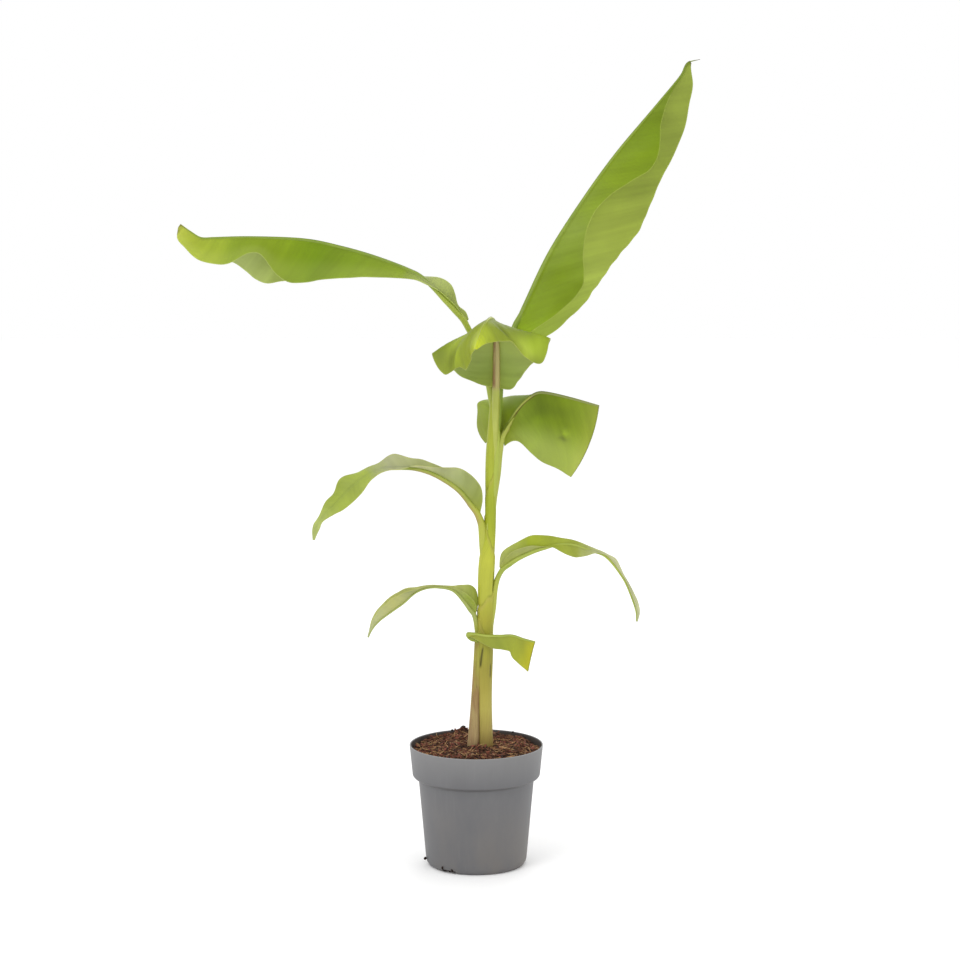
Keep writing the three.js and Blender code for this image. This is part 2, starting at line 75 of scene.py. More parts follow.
# small heaps on the soil: x, y, height and the reach along x and y
HEAPS = [(-18, 75, 8, 9, 7), (9, 0, 2.5, 17, 17)]
# where the stem and the outer sheath leave the soil, which the litter keeps clear: x, y, radius
FEET = [(11.5, 0, 11), (-5, 0, 9)]

# pseudostem: height, sideways place of its axis, radius. Above 535 only its core is left, and
# the three crown petioles stand round it.
STEM_KEYS = [
    [142, 11.5, 10.7], [152, 11.5, 10.3], [170, 11.4, 9.6], [212, 11, 9.1], [264, 11.5, 9.3],
    [310, 12.0, 9.8], [345, 11.9, 10.3], [392, 13.4, 9.8], [425, 17, 7.2], [455, 17.8, 7],
    [507, 18.2, 6.9], [535, 19.4, 7], [578, 22.8, 7], [596, 23.8, 6.2], [606, 24, 3],
]
# sheaths that end on the stem: direction of their leaf in degrees, height of the edge on the
# leaf's side and on the far side, how far they stand out, and the bend of the edge between
SHEATH_EDGES = [
    [0, 520, 470, 0.6, 0.85],
    [180, 451, 393, 1.1, 0.85],
    [0, 363, 330, 1.1, 0.6],
    [180, 328, 275, 1.0, 0.85],
]

# painted shade in clefts between the sheaths: direction, top, bottom, spread and lean in degrees
CREVICES = [[-110, 281, 256, 14, -27], [-42, 260, 243, 9, 0], [-22, 378, 352, 7, 0]]

# outer sheath: thickness at its middle against height, and degrees from its middle to its edges
OUTER_KEYS = {143: 13.5, 152: 13, 180: 11, 212: 8.6, 250: 6.4, 285: 4.4, 297: 3.6}
OUTER_FRONT = 40
OUTER_BACK = 105
OUTER_HUG = (205, 255)  # heights between which its front edge comes to lie close on the stem

# Each leaf: "rib" is the line of its petiole and midrib, laid in about that many "steps", and
# "face" is the way its upper side looks at [share of the rib, x, y, z]. "blade" is the share of
# the rib that carries the blade. A half blade has its width, its fold up from flat and its sweep
# along the rib, in degrees, all against the share of the blade.
LEAVES = {
    "leaf_upper_right": {
        "rib": [[29, 3.6, 601], [32, 6, 636], [43, 12, 672], [62, 20, 716], [92, 32, 778],
            [132, 46, 840], [175, 58, 899], [225, 70, 958], [256, 79, 995], [260, 80, 1004],
            [264, 81, 1011], [271.5, 82, 1016], [282, 83, 1017.5]],
        "face": [[0, -0.9, 0, 0.3], [0.3, -0.87, 0, 0.4], [1, -0.85, 0, 0.5]],
        "blade": [0.17, 0.975], "steps": 24,
        "right": {
            "width": {0: 24, 0.05: 36, 0.12: 50, 0.2: 58, 0.25: 52, 0.3: 40, 0.37: 27, 0.43: 22,
                0.5: 25, 0.57: 35, 0.64: 46, 0.69: 46, 0.74: 34, 0.78: 22, 0.83: 12, 0.87: 6.5,
                0.92: 2.5, 1: 1.5},
            "fold": {0: -60, 0.2: -76, 1: -76},
        },
        "left": {
            "width": {0: 42, 0.06: 60, 0.17: 78, 0.26: 83, 0.36: 85, 0.46: 90, 0.53: 87, 0.65: 73,
                0.76: 63, 0.84: 50, 0.91: 31, 0.95: 20, 0.98: 12, 1: 3},
            "fold": {0: -60, 0.3: -66, 1: -68},
        },
    },
    "leaf_upper_left": {
        "rib": [[18.5, 2.8, 601], [11, 4, 638], [-3, 1, 672], [-20, -4, 702], [-39, -10, 723],
            [-57, -16, 742], [-76, -22, 756], [-122, -36, 775], [-168, -48, 789], [-211, -58, 798],
            [-276, -66, 801], [-328, -76, 800.5], [-341, -79, 803], [-347.5, -80, 810],
            [-352.5, -81, 815], [-358, -82, 817]],
        "face": [[0, 0.7, 0, 0.6], [0.3, 0.5, 0, 0.85], [0.4, 0.3, 0, 1], [1, 0, 0, 1]],
        "blade": [0.2, 1], "steps": 26,
        "right": {
            "width": {0: 6, 0.025: 8, 0.055: 6, 0.09: 13, 0.12: 17, 0.16: 15, 0.2: 9, 0.33: 22,
                0.43: 35, 0.5: 44, 0.6: 57, 0.665: 62, 0.71: 65, 0.75: 58, 0.78: 47, 0.82: 35,
                0.93: 20, 0.98: 12, 1: 4},
            "fold": {0: 70, 0.14: 75, 0.2: 0, 0.27: -56, 0.4: -62, 1: -66},
        },
        "left": {
            "width": {0: 3, 0.08: 6, 0.16: 6, 0.22: 9, 0.33: 22, 0.43: 34, 0.5: 43, 0.6: 54,
                0.65: 54, 0.69: 44, 0.735: 22, 0.775: 20, 0.84: 32, 0.89: 32, 0.95: 21, 0.985: 16,
                1: 5},
            "fold": {0: 30, 0.12: 20, 0.2: -60, 0.3: -76, 1: -76},
        },
    },
    "leaf_front_crown": {
        "rib": [[24.5, -6.5, 601], [25, -9, 632], [25, -17, 662], [24, -34, 688], [20, -62, 702],
            [13, -96, 702], [6, -126, 691], [-1, -152, 672]],
        "face": [[0, 0, 1, 0.1], [0.25, 0, 1, 0.3], [0.5, 0, 0.4, 1], [0.75, 0, -0.1, 1],
            [1, 0, -0.6, 1]],
        "blade": [0.06, 1], "steps": 22,
        "right": {
            "width": {0: 6, 0.06: 24, 0.12: 38, 0.2: 56, 0.3: 68, 0.4: 80, 0.5: 87, 0.6: 92,
                0.68: 80, 0.74: 71, 0.8: 66, 0.86: 42, 0.92: 19, 1: 1.5},
            "fold": {0: -5, 0.3: -10, 0.4: -20, 0.5: -29, 0.55: -40, 0.6: -50, 0.74: -60, 0.8: -70,
                1: -70},
            "sweep": {0: -30, 0.3: -28, 0.42: -12, 0.5: 0, 1: 0},
        },
        "left": {
            "width": {0: 6, 0.06: 26, 0.14: 37, 0.25: 51, 0.35: 67, 0.45: 74, 0.52: 84, 0.58: 72,
                0.66: 46, 0.74: 33, 0.84: 20, 0.93: 9, 1: 1.5},
            "fold": {0: -5, 0.3: -8, 0.42: -18, 0.52: -42, 0.6: -48, 0.7: -42, 0.85: -46, 1: -40},
            "sweep": {0: -45, 0.15: -40, 0.25: -33, 0.35: -25, 0.45: 0, 1: 0},
        },
    },
    "leaf_right_trimmed": {
        "rib": [[27.8, 0, 507], [30, 0, 530], [34, 0, 551], [44, 1, 571], [56, 1, 589],
            [70, 0, 601], [83, -2, 605], [115, -8, 599], [153, -16, 589]],
        "face": [[0, -1, 0, 0.1], [0.4, -0.8, 0, 0.6], [0.7, -0.2, -0.1, 1], [1, 0, -0.1, 1]],
        "blade": [0.22, 1], "steps": 22,
        "right": {
            "width": {0: 13, 0.1: 21, 0.2: 30, 0.3: 53, 0.4: 73, 0.5: 88, 0.6: 90, 0.8: 91, 1: 97},
            "fold": {0: -80, 1: -80},
            "sweep": {0: -64, 0.1: -54, 0.2: -48, 0.3: -44, 0.4: -32, 0.45: -22, 0.5: -6, 0.55: 4,
                0.6: 5, 0.8: 2, 1: -6},
        },
        "left": {
            "width": {0: 38, 0.06: 59, 0.12: 66, 0.2: 68, 0.3: 60, 0.4: 60, 0.6: 58, 0.8: 57,
                1: 50},
            "fold": {0: 32, 0.12: 36, 0.2: 40, 0.3: 20, 0.4: 0, 0.52: -50, 0.7: -74, 1: -76},
            "sweep": {0: -28, 0.06: -16, 0.12: -10, 0.2: -11, 0.3: -16, 0.4: -19, 0.6: 0, 0.8: -6,
                1: -18},
        },
    },
    "leaf_left_middle": {
        "rib": [[6.3, 0, 415], [4.5, -2, 440], [-5, -5, 462], [-20, -10, 482], [-38, -16, 496],
            [-58, -22, 507], [-79, -28, 513], [-100, -34, 514], [-119, -40, 513], [-137, -44, 505],
            [-154, -48, 492], [-170, -52, 476], [-185, -56, 461], [-197, -58, 445],
            [-201, -60, 427]],
        "face": [[0, 1, 0, 0.2], [0.25, 0.6, 0, 0.8], [0.5, 0, 0, 1], [0.6, -0.1, -0.3, 1],
            [0.7, -0.5, -1, 0.7], [1, -0.5, -1, 0.5]],
        "blade": [0.12, 1], "steps": 22,
        "right": {
            "width": {0: 3, 0.05: 12, 0.1: 19, 0.16: 20, 0.26: 12, 0.34: 13, 0.4: 12, 0.47: 19,
                0.54: 12, 0.62: 14, 0.72: 18, 0.8: 14, 0.85: 9.5, 0.9: 4.8, 0.94: 5.4, 1: 1.5},
            "fold": {0: 75, 0.3: 65, 0.47: 62, 0.56: 10, 1: 0},
        },
        "left": {
            "width": {0: 4, 0.05: 16, 0.1: 24, 0.16: 26, 0.25: 18, 0.32: 10, 0.42: 9, 0.5: 9,
                0.6: 11, 0.72: 18, 0.8: 14, 0.85: 9.5, 0.9: 4.8, 0.94: 5.4, 1: 1.5},
            "fold": {0: 75, 0.22: 72, 0.34: 40, 0.45: 0, 1: 0},
        },
    },
    "leaf_right_lower": {
        "rib": [[23.9, 0, 336], [25.4, 0, 350], [27.4, 0, 364], [31.5, -1, 376], [40, -3, 387],
            [53, -4, 396], [72, -6, 405], [87, -7, 410], [102, -8, 414], [121, -10, 414],
            [138, -11, 409], [151, -12, 404.5], [162, -13, 400], [171, -14, 391], [180, -15, 379],
            [188, -16, 366], [196, -18, 346], [201, -19, 330], [201.5, -20, 317]],
        "face": [[0, -1, 0, 0.2], [0.25, -0.6, 0, 0.8], [0.5, 0, 0, 1], [0.8, 0.6, 0, 0.8],
            [1, 1, 0, 0.4]],
        "blade": [0.16, 1], "steps": 20,
        "right": {
            "width": {0: 4, 0.05: 9, 0.1: 11, 0.18: 9, 0.25: 4, 0.29: 3, 0.35: 11, 0.4: 15,
                0.45: 15.5, 0.5: 10, 0.55: 3, 0.65: 2.5, 0.8: 2.5, 0.9: 2.5, 1: 1.5},
            "fold": {0: 75, 0.2: 72, 0.25: 35, 0.3: -30, 0.36: -65, 0.5: -70, 0.57: 0, 0.64: 65,
                1: 70},
        },
        "left": {
            "width": {0: 5, 0.05: 16, 0.1: 18, 0.2: 19.5, 0.26: 16.5, 0.35: 8, 0.45: 5, 0.55: 3.5,
                0.6: 3.5, 0.65: 7, 0.7: 5, 0.75: 3, 0.85: 5, 0.9: 6, 0.95: 5, 1: 1.5},
            "fold": {0: 75, 0.3: 70, 0.6: 60, 1: 65},
        },
    },
    "leaf_left_lower": {
        "rib": [[0.4, 0, 298], [-2, -2, 316], [-7, -4, 330], [-17, -8, 344], [-29, -12, 356],
            [-44, -15, 360], [-61, -18, 360], [-77, -22, 354], [-91, -26, 342], [-107, -30, 331],
            [-122, -34, 320], [-131, -36, 309], [-135, -37, 300]],
        "face": [[0, 1, 0, 0.2], [0.3, 0.6, 0, 0.8], [0.5, 0, 0, 1], [0.75, -0.6, 0, 1],
            [1, -0.7, 0, 0.6]],
        "blade": [0.13, 1], "steps": 18,
        "right": {
            "width": {0: 3, 0.05: 14, 0.1: 22, 0.15: 20, 0.2: 12, 0.25: 5, 0.32: 2.5, 0.4: 3.5,
                0.48: 7, 0.55: 13, 0.62: 16, 0.7: 17, 0.8: 14, 0.88: 9, 0.95: 3, 1: 1.5},
            "sweep": {0: 10, 0.1: 16, 0.2: 10, 0.3: 0, 1: 0},
            "fold": {0: 75, 0.3: 60, 0.45: 25, 0.58: 45, 0.7: 62, 1: 60},
        },
        "left": {
            "width": {0: 2, 0.05: 8, 0.1: 10, 0.15: 9, 0.2: 6, 0.25: 3, 0.32: 2, 0.4: 2.5, 0.48: 5,
                0.55: 11, 0.62: 14, 0.7: 15, 0.8: 14, 0.88: 9, 0.95: 3, 1: 1.5},
            "fold": {0: 75, 0.25: 70, 0.4: 30, 0.55: 45, 0.7: 65, 1: 60},
        },
    },
    "leaf_lowest_trimmed": {
        "rib": [[-1, -5, 286.4], [-9, -10, 294], [-10, -14, 301], [-2, -17, 301], [12, -18, 299],
            [30, -20, 299], [45, -23, 300], [60, -27, 296], [74, -31, 293]],
        "face": [[0, -0.6, 0, -0.6], [0.25, 0, 0, 1], [1, 0, 0, 1]], "blade": [0.2, 1],
        "steps": 14,
        "right": {
            "width": {0: 3, 0.2: 10, 0.35: 16, 0.5: 18, 0.66: 23, 0.82: 31, 1: 39},
            "fold": {0: -60, 0.3: -80, 1: -80},
        },
        "left": {
            "width": {0: 2, 0.2: 5, 0.45: 8, 0.7: 11, 1: 12},
            "fold": {0: -60, 0.3: -70, 1: -70},
            "sweep": {0: 0, 0.8: 0, 1: -14},
        },
    },
}

# How each leaf looks. "upper" and "under" are the tones of its two sides at shares of the blade,
# and every colour is 0 to 255 as on a screen. The painted sheen is how far the outer part of a
# half blade pales with painted light, "bow" how far it turns down. The waves of the margin have a
# swing and a length, the blade humps, all in millimetres, and "lean" is how far the side veins run
# back. "tube" is the radius of petiole and midrib, "groove" the depth of the petiole's channel,
# and "drop" how far the petiole runs down inside the stem, to "root" if that isn't the stem's
# middle. "shift" moves petiole and midrib by x, y, z at shares of the rib. A flush is [from, to,
# middle angle, spread] on petiole and midrib, in shares of the rib and radians from its upper
# side, and a blush is (from, to). A stain is [side, from, to, width] beside the midrib. "tip" is
# where a dry point begins, "cut" how dry a cut end is, "bulge" how far that end stands out, and
# "ease" how many times the rows of a half blade are evened out at its margin.
# A patch is [side, share, across, reach along, reach across, light, lift]: a place on the blade
# with painted light or shade by that share, standing out by that many millimetres.
LOOKS = {
    "leaf_upper_right": {
        "upper": {0: (148, 173, 29), 0.2: (130, 153, 28), 0.36: (146, 166, 62),
            0.55: (137, 160, 36), 0.75: (122, 146, 21), 1: (133, 151, 55)},
        "under": {0: (179, 198, 81), 0.28: (182, 197, 91), 0.45: (165, 179, 76),
            1: (156, 171, 72)},
        "through": 0.34, "wave": 1.5, "wave_length": 66, "hump": 2.4, "lean": 1.0, "seed": 11,
        "drop": 150, "tip": (0.992, 1),
        "tube": {0: 4.6, 0.17: 4.3, 0.25: 3.2, 0.9: 1.1, 0.97: 0.8, 1: 0.25},
        "rib": (140, 160, 46), "rib_dark": (114, 138, 30), "margin": (196, 208, 104),
    },
    "leaf_upper_left": {
        "upper": {0: (170, 181, 99), 0.18: (168, 178, 111), 0.28: (144, 166, 49),
            0.56: (119, 147, 19), 0.7: (135, 158, 28), 0.82: (144, 166, 46), 0.94: (168, 181, 60),
            1: (181, 189, 74)},
        "under": {0: (190, 206, 99), 0.69: (166, 180, 93), 0.81: (192, 203, 131),
            1: (195, 206, 125)},
        "painted_sheen": {"left": {0: 0.12, 1: 0.16}}, "wave": 1.2, "wave_length": 52, "hump": 1.6,
        "seed": 22, "drop": 150, "tip": (0.985, 1), "margin": (210, 220, 138),
        "rib": (138, 158, 52), "rib_dark": (112, 136, 32), "blush": (-1.2, 0.36),
        "blush_colour": (174, 186, 74), "tube": {0: 4.6, 0.2: 4.2, 0.34: 2.8, 0.9: 1.3, 1: 0.8},
    },
    "leaf_front_crown": {
        "upper": {0: (148, 165, 48), 0.44: (148, 168, 42), 0.56: (161, 177, 65),
            0.7: (151, 166, 52), 0.85: (151, 164, 47), 1: (183, 193, 44)},
        "under": {0: (154, 170, 69), 0.12: (151, 169, 81), 0.24: (157, 172, 92),
            0.4: (162, 173, 90), 1: (165, 174, 85)},
        "bow": {
            "right": {0: 12, 0.35: 8, 0.5: 3, 0.6: 25, 0.75: 34, 0.9: 20, 1: 12},
            "left": {0: 12, 0.35: 8, 0.5: 4, 0.6: 12, 1: 12},
        },
        "wave": 1.6, "wave_length": 34, "hump": 1.2, "seed": 33, "drop": 170,
        "rib": (182, 188, 90), "rib_dark": (162, 172, 66), "blush": (0.02, 0.5),
        "blush_colour": (178, 160, 108), "flush": [[0.03, 0.46, 2.45, 1.0]],
        "flush_colour": (134, 94, 54), "tube": {0: 4.6, 0.25: 4.2, 0.42: 2.8, 0.9: 1.1, 1: 0.7},
        # painted light on the tip and painted shade on the folds of the flaps
        "patches": [[1, 0.93, 8, 20, 15, 0.4, 0], [-1, 0.88, 6, 24, 15, 0.4, 0],
            [1, 0.6, 16, 24, 20, -0.22, 0], [-1, 0.6, 16, 24, 20, -0.22, 0],
            [1, 0.46, 30, 14, 50, -0.14, 0], [-1, 0.46, 30, 14, 50, -0.14, 0],
            [1, 0.63, 72, 12, 16, -0.3, -2], [1, 0.71, 62, 8, 16, 0.2, 2],
            [1, 0.52, 82, 12, 14, -0.2, 0], [1, 0.56, 52, 9, 14, 0.2, 2],
            [-1, 0.5, 62, 16, 20, 0.35, 1.5], [-1, 0.56, 80, 9, 10, -0.35, -2],
            [-1, 0.64, 26, 8, 12, -0.25, -2]],
    },
    "leaf_right_trimmed": {
        "upper": {0: (134, 148, 28), 0.3: (133, 154, 44), 0.5: (120, 142, 28), 0.7: (133, 155, 29),
            0.85: (142, 162, 42), 1: (156, 168, 62)},
        "under": {0: (180, 194, 96), 1: (186, 200, 104)},
        "painted_sheen": {
            "right": {0: 0, 0.25: 0.25, 0.55: 0.42, 1: 0.34},
            "left": {0: 0.22, 0.3: 0.22, 0.5: 0, 1: 0},
        },
        "wave": 0.5, "wave_length": 60, "hump": 1.6, "seed": 44, "drop": 75, "bulge": {"right": 7},
        "ease": {"right": 70}, "tube": {0: 3.7, 0.24: 3.3, 0.42: 2.0, 0.9: 1.3, 1: 1.1},
        "flush": [[0.22, 0.6, 3.1, 0.9], [0.22, 0.6, -3.1, 0.9]], "stain": [[1, 0.17, 0.48, 1.3]],
        "rib": (176, 182, 82), "rib_dark": (156, 166, 60), "blush": (0.52, 1.3),
        "blush_colour": (132, 140, 78),
        # a painted highlight and a painted shadow on the bump, and painted light and shade beside
        # it
        "patches": [[1, 0.76, 44, 5, 4.5, 0.42, 3.2], [1, 0.74, 52, 6, 3, -0.45, -1.6],
            [1, 0.5, 36, 16, 9, 0.16, 0.6], [1, 0.62, 20, 30, 10, -0.16, 0],
            [1, 0.42, 62, 16, 12, 0.22, 0.5]],
        "cut": 0.6,
    },
    "leaf_left_middle": {
        "upper": {0: (173, 179, 130), 0.3: (178, 185, 129), 0.5: (179, 183, 145),
            0.62: (161, 176, 83), 0.8: (160, 176, 74), 1: (180, 191, 121)},
        "under": {0: (149, 161, 58), 0.2: (171, 180, 122), 0.35: (206, 206, 165),
            1: (196, 197, 153)},
        "wave": 2.3, "wave_length": 27, "hump": 1.1, "seed": 55, "drop": 62, "groove": 0.12,
        "blush": (-1.2, 0.2), "blush_colour": (176, 180, 64),
        "tube": {0: 5.4, 0.06: 5.2, 0.12: 4.3, 0.2: 3.2, 0.9: 1.1, 1: 0.6},
        "shift": [[0, 2.4, 0, 0], [0.06, 2, 0, 0], [0.12, 1, 0, 0], [0.2, 0, 0, 0], [1, 0, 0, 0]],
        "flush": [[0.06, 0.5, 2.9, 1.1], [0.06, 0.5, -2.9, 1.1]], "flush_colour": (158, 122, 84),
    },
    "leaf_right_lower": {
        "upper": {0: (187, 194, 121), 0.2: (159, 172, 45), 0.45: (156, 165, 71),
            0.6: (194, 197, 160), 1: (203, 206, 169)},
        "under": {0: (177, 186, 92), 0.2: (169, 174, 111), 0.44: (158, 169, 72),
            0.56: (187, 190, 144), 0.7: (206, 205, 181), 1: (197, 202, 165)},
        "wave": 0.9, "wave_length": 26, "seed": 66, "drop": 52, "groove": 0.15,
        "blush": (-1.2, 0.16), "blush_colour": (174, 178, 66),
        "tube": {0: 4.2, 0.08: 3.8, 0.3: 2.5, 0.9: 0.9, 1: 0.5},
        "shift": [[0, -2.4, 0, 0], [0.06, -2.6, 0, 0], [0.12, -1.5, 0, 1], [0.2, 0, 0, 0],
            [1, 0, 0, 0]],
    },
    "leaf_left_lower": {
        "upper": {0: (163, 176, 59), 0.25: (174, 180, 110), 1: (177, 179, 108)},
        "under": {0: (158, 171, 59), 0.14: (158, 174, 72), 0.25: (178, 184, 116),
            0.56: (184, 189, 135), 0.7: (192, 193, 125), 1: (191, 198, 160)},
        "wave": 0.9, "wave_length": 24, "seed": 77, "drop": 42, "groove": 0.15,
        "blush": (-1.2, 0.12), "blush_colour": (166, 168, 62),
        "tube": {0: 3.6, 0.12: 3.2, 0.3: 1.9, 0.9: 0.8, 1: 0.45},
        "shift": [[0, 1.4, 0, 0], [0.1, 1.2, 0, 0], [0.18, 1.2, 0, -2], [0.3, 0, 0, 0],
            [1, 0, 0, 0]],
        "rib": (168, 176, 100), "rib_dark": (148, 160, 72),
    },
    "leaf_lowest_trimmed": {
        "upper": {0: (165, 169, 68), 0.44: (152, 163, 64), 0.81: (166, 173, 60),
            0.94: (189, 188, 50), 1: (193, 190, 47)},
        "under": {0: (150, 160, 66), 1: (170, 176, 70)}, "wave": 0.8, "wave_length": 22,
        "seed": 88, "drop": 26, "tube": {0: 1.8, 0.1: 3.4, 0.2: 3.8, 0.3: 2.3, 1: 1.1},
        "shift": [[0, 1.5, 0, 2.6], [0.11, 3, 1, 0], [0.19, 0.5, 1, -2], [0.27, -1, 0, 0],
            [0.4, 0, 0, 0], [1, 0, 0, 0]],
        "root": [5, -1, 2.8], "cut": 0.6,
    },
}
STAY = [[0, 0, 0, 0], [1, 0, 0, 0]]
NO_TIP = NO_BLUSH = (2, 3)  # beyond the end of the rib
# what a leaf has where LOOKS doesn't say otherwise
PLAIN = {
    "rib": (172, 181, 78), "rib_dark": (140, 158, 52), "margin": (190, 196, 112),
    "flush": (), "flush_colour": (142, 96, 52), "blush": NO_BLUSH, "blush_colour": (172, 181, 78),
    "through": 0.3, "lean": 0.6, "hump": 0.6, "groove": 0.52, "shift": STAY, "tip": NO_TIP,
    "cut": 0, "painted_sheen": {}, "bow": {}, "bulge": {}, "ease": {}, "stain": (), "patches": (),
}

# what the fine surfaces have beyond the solids' sizes, in millimetres where nothing else is said
STEM_STEP = 1.3
STEM_SIDES = 112
OUTER_STEP = 1.4
OUTER_COLUMNS = 53
BOW = {0: 12, 1: 12}  # degrees that a half blade turns down from rib to margin, by its share
NONE = {0: 0, 1: 0}
BLADE_THICK = 0.6
LEAST_WIDTH = 0.8
UNEVEN = 0.008  # share by which a half blade's width wavers
ALONG_STEP = 1.9
ACROSS_STEP = 2.4
MARGIN_WIDTH = 1.3
PLEAT = 7.2  # from one main side vein to the next
PLEAT_DEPTH = 0.13
RIB_SINK = 0.5  # share of its radius that the midrib lies under the blade
RIB_SIDES = 24
RIB_STEP = 3
RIB_COLUMNS = [0, 0.6, 1.2, 1.9, 2.8]  # where the blade's columns lie over it, in its radii


# ---------------------------------------------------------------- numbers
def smooth(low, high, x):
    """0 below low, 1 above high, with an easy slope between."""
    t = np.clip((np.asarray(x, float) - low) / (high - low), 0, 1)
    return t * t * (3 - 2 * t)


def window(low, high, rise, fall, x):
    """1 between low and high, with easy slopes of these lengths just inside them."""
    return smooth(low, low + rise, x) * (1 - smooth(high - fall, high, x))


def bell(x, middle, spread):
    return np.exp(-(((x - middle) / spread) ** 2))


def unit(v):
    return v / np.maximum(np.linalg.norm(v, axis=-1, keepdims=True), 1e-9)


def drop_part(v, along):
    """What is left of v without its part along a unit direction."""
    return v - (v * along).sum(-1, keepdims=True) * along


def arc(s, a, leave, b, arrive):
    """A curve from a to b at shares s, that leaves and arrives with these slopes."""
    return (
        (2 * s**3 - 3 * s**2 + 1) * a + (s**3 - 2 * s**2 + s) * leave
        + (3 * s**2 - 2 * s**3) * b + (s**3 - s**2) * arrive
    )


def neighbours(rows):
    """From the row before each one to the row after it."""
    i = np.arange(len(rows))
    return rows[np.minimum(i + 1, len(rows) - 1)] - rows[np.maximum(i - 1, 0)]


def track(keys, at):
    """Smooth values through [place, value, ...] keys: one row for each place."""
    keys = np.asarray(keys, float)
    t = np.clip(np.asarray(at, float), keys[0, 0], keys[-1, 0])
    i = np.clip(np.searchsorted(keys[:, 0], t, side="right") - 1, 0, len(keys) - 2)
    reach = neighbours(keys)
    slope = reach[:, 1:] / reach[:, :1]
    h = (keys[i + 1, 0] - keys[i, 0])[..., None]
    s = (t - keys[i, 0])[..., None] / h
    return arc(s, keys[i, 1:], h * slope[i], keys[i + 1, 1:], h * slope[i + 1])


def value(keys, at):
    """Smooth values through {place: value} keys."""
    return track(list(keys.items()), at)[..., 0]


def even_path(points, count):
    """Points at even distances along a smooth line through the given ones."""
    p = np.asarray(points, float)
    p = np.vstack([2 * p[0] - p[1], p, 2 * p[-1] - p[-2]])
    s = np.linspace(0, 1, 40, endpoint=False)[:, None]
    dense = [arc(s, p[i], (p[i + 1] - p[i - 1]) / 2, p[i + 1], (p[i + 2] - p[i]) / 2)
             for i in range(1, len(p) - 2)]
    dense = np.vstack(dense + [p[-2:-1]])
    run = np.r_[0, np.cumsum(np.linalg.norm(np.diff(dense, axis=0), axis=1))]
    goal = np.linspace(0, run[-1], count + 1)
    return np.stack([np.interp(goal, run, dense[:, k]) for k in range(3)], -1), run[-1]


def swell(x, y, wave, seed):
    """Uneven waves of about that length over two coordinates, mostly within -1 and 1."""
    dice = np.random.default_rng(seed)
    total = 0
    for _ in range(6):
        turn, length, start = dice.uniform((0, 0.6, 0), (ROUND, 1.6, ROUND))
        reach = np.asarray(x) * math.cos(turn) + np.asarray(y) * math.sin(turn)
        total = total + np.sin(ROUND * reach / (wave * length) + start)
    return total / 3


def around(sides):
    return np.linspace(0, ROUND, sides, endpoint=False)


def circle(reach, angle, z, axis=0):
    """Points at a reach and angle about an upright axis that stands at x = axis."""
    return np.stack([axis + reach * np.cos(angle), reach * np.sin(angle), z + 0 * angle], -1)


# ---------------------------------------------------------------- meshes
def grid_faces(rows, columns, closed=False):
    """Quads of a grid of points. closed joins the last column to the first."""
    i = np.arange(rows - 1)[:, None]
    j = np.arange(columns if closed else columns - 1)[None, :]
    k = (j + 1) % columns
    quads = [i * columns + j, i * columns + k, (i + 1) * columns + k, (i + 1) * columns + j]
    return np.stack(quads, -1).reshape(-1, 4).tolist()


def volume(points, faces):
    total = 0
    for size in {len(f) for f in faces}:
        corners = points[np.array([f for f in faces if len(f) == size])]
        for k in range(1, size - 1):
            cross = np.cross(corners[:, k], corners[:, k + 1])
            total += float(np.einsum("ij,ij->", corners[:, 0], cross)) / 6
    return total


def new_mesh(name, points, faces):
    """A mesh in metres whose faces look outwards."""
    if volume(points, faces) < 0:
        faces = [f[::-1] for f in faces]
    mesh = bpy.data.meshes.new(name)
    mesh.from_pydata((points * MM).tolist(), [], faces)
    return mesh


def add_values(mesh, values):
    """A number at each point of the mesh, under each of the names."""
    for label, numbers in values.items():
        layer = mesh.attributes.new(label, "FLOAT", "POINT")
        layer.data.foreach_set("value", np.asarray(numbers, np.float32).ravel())


def add_object(name, mesh, stands_for=()):
    """The mesh in the scene, with its place on the body."""
    piece = bpy.data.objects.new(name, mesh)
    bpy.context.scene.collection.objects.link(piece)
    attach(piece, "root")
    if stands_for:
        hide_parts(*stands_for)


def add_piece(name, points, faces, finishes, kinds=None, veins=None, values=None,
              stands_for=()):
    """One closed mesh in the scene, with its finishes, its vein map and its numbers."""
    mesh = new_mesh(name, np.asarray(points, float).reshape(-1, 3), faces)
    for finish in finishes:
        mesh.materials.append(finish)
    if kinds is not None:
        mesh.polygons.foreach_set("material_index", np.asarray(kinds, np.int32))
    add_values(mesh, values or {})
    if veins is not None:
        veins = np.asarray(veins, np.float32).reshape(-1, 2)
        corner = np.empty(len(mesh.loops), np.int32)
        mesh.loops.foreach_get("vertex_index", corner)
        layer = mesh.uv_layers.new(name="Veins")
        layer.data.foreach_set("uv", (veins * MM)[corner].ravel())
    mesh.shade_smooth()
    mesh.update()
    add_object(name, mesh, stands_for)


def slab(grid, thick):
    """Closed skin round a grid of points: points, faces, and 0 above or 1 below for each face."""
    rows, columns = grid.shape[:2]
    out = unit(np.cross(np.gradient(grid, axis=1), np.gradient(grid, axis=0))) * thick / 2
    points = np.concatenate([(grid + out).reshape(-1, 3), (grid - out).reshape(-1, 3)])
    count = rows * columns
    above = grid_faces(rows, columns)
    below = [[a + count, d + count, c + count, b + count] for a, b, c, d in above]
    index = np.arange(count).reshape(rows, columns)
    border = np.concatenate([
        index[0, :-1], index[:-1, -1], index[-1, :0:-1], index[:0:-1, 0],
    ]).tolist()
    rim = [[b, a, a + count, b + count] for a, b in zip(border, border[1:] + border[:1])]
    return points, above + below + rim, [0] * len(above) + [1] * (len(below) + len(rim))


def tube(rings):
    """Closed skin over rings of points, with a flat end on each side."""
    rows, sides = rings.shape[:2]
    faces = grid_faces(rows, sides, closed=True)
    faces.append(list(range(sides))[::-1])
    faces.append([(rows - 1) * sides + j for j in range(sides)])
    return rings.reshape(-1, 3), faces


